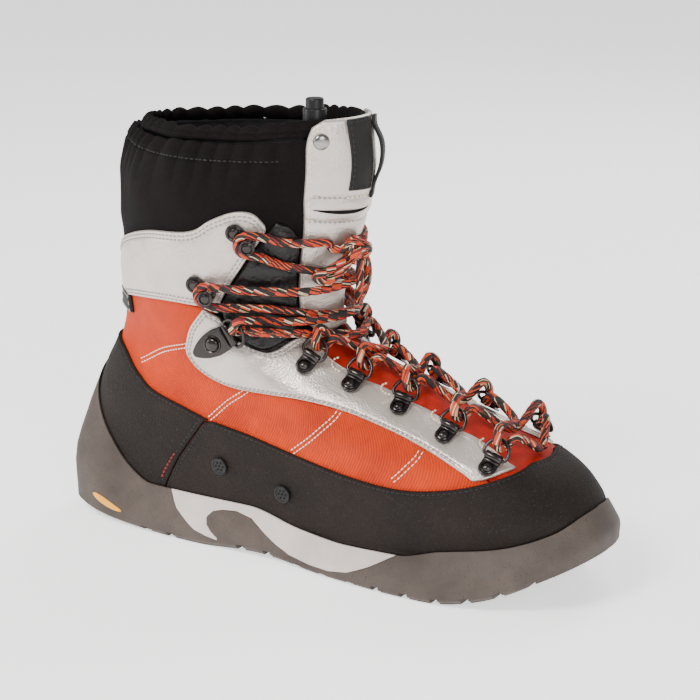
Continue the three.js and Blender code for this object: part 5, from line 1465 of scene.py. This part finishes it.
# %% Decorative seams
for line in (((0.125, 0.388), (0.165, 0.455), (0.213, 0.508)), ((0.198, 0.247), (0.222, 0.325), (0.250, 0.393)),
             ((0.255, 0.195), (0.295, 0.305), (0.340, 0.403)), ((0.322, 0.173), (0.345, 0.232), (0.368, 0.283))):
    for flip in (False, True):
        sewn_line("cream", [(1 - a if flip else a, b) for a, b in line], BASE_LAYER[1] + 0.1, 2.2)
for flip in (False, True):
    sewn_line("red", [(1 - a if flip else a, b) for a, b in ((0.1425, 0.055), (0.150, 0.08), (0.160, 0.115))],
              OVERLAY_LAYER[1] - 0.15)
    for u_k, v_k in ((0.4475, 0.305), (0.4440, 0.390), (0.4300, 0.467), (0.4060, 0.532)):
        u_k = 1 - u_k if flip else u_k
        centre = on_last(u_k, v_k, OVERLAY_LAYER[1] + 0.75)
        east = unit(last_point(u_k + 0.003, v_k) - last_point(u_k - 0.003, v_k)) * (1 if flip else -1)
        north = unit(np.cross(last_normal(u_k, v_k), east))
        lay_thread("tack", np.array([centre + 4.4 * (math.cos(a) * east + math.sin(a) * north)
                                                         for a in np.linspace(-1.3, 1.3, 24)]))
sewn_line("cream", [(0.448, 0.885), (0.474, 0.886), (0.5, 0.888)], SHIELD_TOP + 1.3)
print("seams", {k: len(v) for k, v in THREADS.items()})

# %% [markdown]
# ## Stitches by Geometry Nodes
# A row of stitches is one small bead of thread repeated along a line. The tree turns the lines
# into curves, resamples them at the stitch pitch and puts a stretched ball on each point, turned
# along the curve. Its inputs are named, so every thread uses the same tree with its own sizes.

# %% The stitch tree
def stitch_tree():
    tree, gi, go = new_group("stitch_row", [("Geometry", "Geometry", None), ("Pitch", "Float", 0.0026),
                                            ("Stitch length", "Float", 0.0021), ("Thread", "Float", 0.0004),
                                            ("Finish", "Material", None)], ["Geometry"], "GeometryNodeTree",
                             "Geometry")
    curve = node(tree, "GeometryNodeMeshToCurve", {"Mesh": gi.outputs["Geometry"]})
    even = node(tree, "GeometryNodeResampleCurve", {"Curve": curve.outputs[0], "Length": gi.outputs["Pitch"]},
                mode="LENGTH")
    ball = node(tree, "GeometryNodeMeshUVSphere", {"Segments": 6, "Rings": 4, "Radius": 0.5})
    wide = maths(tree, "MULTIPLY", gi.outputs["Thread"], 2.0)
    size = node(tree, "ShaderNodeCombineXYZ", {0: wide, 1: wide, 2: gi.outputs["Stitch length"]})
    along = node(tree, "GeometryNodeInputTangent")
    aimed = node(tree, "FunctionNodeAlignEulerToVector", {"Vector": along.outputs[0]}, axis="Z")
    placed = node(tree, "GeometryNodeInstanceOnPoints", {"Points": even.outputs[0], "Instance": ball.outputs["Mesh"],
                                                         "Rotation": aimed.outputs[0], "Scale": size.outputs[0]})
    real = node(tree, "GeometryNodeRealizeInstances", {0: placed.outputs[0]})
    smooth = node(tree, "GeometryNodeSetShadeSmooth", {0: real.outputs[0]})
    finish = node(tree, "GeometryNodeSetMaterial", {"Geometry": smooth.outputs[0], "Material": gi.outputs["Finish"]})
    tree.links.new(finish.outputs[0], go.inputs[0])
    return tree

def socket_id(tree, label):
    return next(item.identifier for item in tree.interface.items_tree
                if item.name == label and item.in_out == "INPUT")

def grow(name, lines, tree, slot, **values):
    """Runs the tree on lines in space and keeps its result as a plain mesh."""
    points, edges, count = [], [], 0
    for line in lines:
        points += (np.asarray(line) * MM).tolist()
        edges += [(count + k, count + k + 1) for k in range(len(line) - 1)]
        count += len(line)
    mesh = bpy.data.meshes.new(name + "_lines")
    mesh.from_pydata(points, edges, [])
    source = bpy.data.objects.new(name + "_lines", mesh)
    scene.collection.objects.link(source)
    step = source.modifiers.new("grow", "NODES")
    step.node_group = tree
    for label, value in values.items():
        step[socket_id(tree, label.replace("_", " "))] = value
    bpy.context.view_layer.update()
    made = bpy.data.meshes.new_from_object(source.evaluated_get(bpy.context.evaluated_depsgraph_get()))
    source.modifiers.remove(step)
    bpy.data.objects.remove(source)
    piece = bpy.data.objects.new(name, made)
    scene.collection.objects.link(piece)
    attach(piece, "root")
    return piece

stitch = stitch_tree()
for kind, finish, slot, pitch, thread in (("cream", CREAM_THREAD, "orange_cloth", 0.0024, 0.00036),
                                          ("grey", GREY_THREAD, "silver_leather", 0.0026, 0.00046),
                                          ("tack", CREAM_THREAD, "silver_leather", 0.0019, 0.0006),
                                          ("dark", DARK_THREAD, "rand_hide", 0.0028, 0.00046),
                                          ("red", RED_THREAD, "rand_hide", 0.0028, 0.0005)):
    piece = grow(f"stitches_{kind}", THREADS[kind], stitch, slot, Pitch=pitch, Stitch_length=pitch * 0.84,
                 Thread=thread, Finish=finish)
    print(kind, "stitches", len(piece.data.polygons) // 24)

# %% Drain holes, one dark dot on each mark: painted shade in place of each open hole
def dot_tree():
    tree, gi, go = new_group("dots", [("Geometry", "Geometry", None), ("Radius", "Float", 0.0006),
                                      ("Finish", "Material", None)], ["Geometry"], "GeometryNodeTree", "Geometry")
    ball = node(tree, "GeometryNodeMeshUVSphere", {"Segments": 10, "Rings": 6, "Radius": gi.outputs["Radius"]})
    placed = node(tree, "GeometryNodeInstanceOnPoints", {"Points": gi.outputs[0], "Instance": ball.outputs["Mesh"]})
    real = node(tree, "GeometryNodeRealizeInstances", {0: placed.outputs[0]})
    finish = node(tree, "GeometryNodeSetMaterial", {"Geometry": real.outputs[0], "Material": gi.outputs["Finish"]})
    tree.links.new(finish.outputs[0], go.inputs[0])
    return tree

marks = np.array(hole_marks)
grow("painted_drain_hole_shade", [marks[k:k + 1] for k in range(len(marks))], dot_tree(), "black_plastic", Radius=0.0007,
     Finish=PAINTED_HOLE_SHADE)
print("drain holes", len(marks))
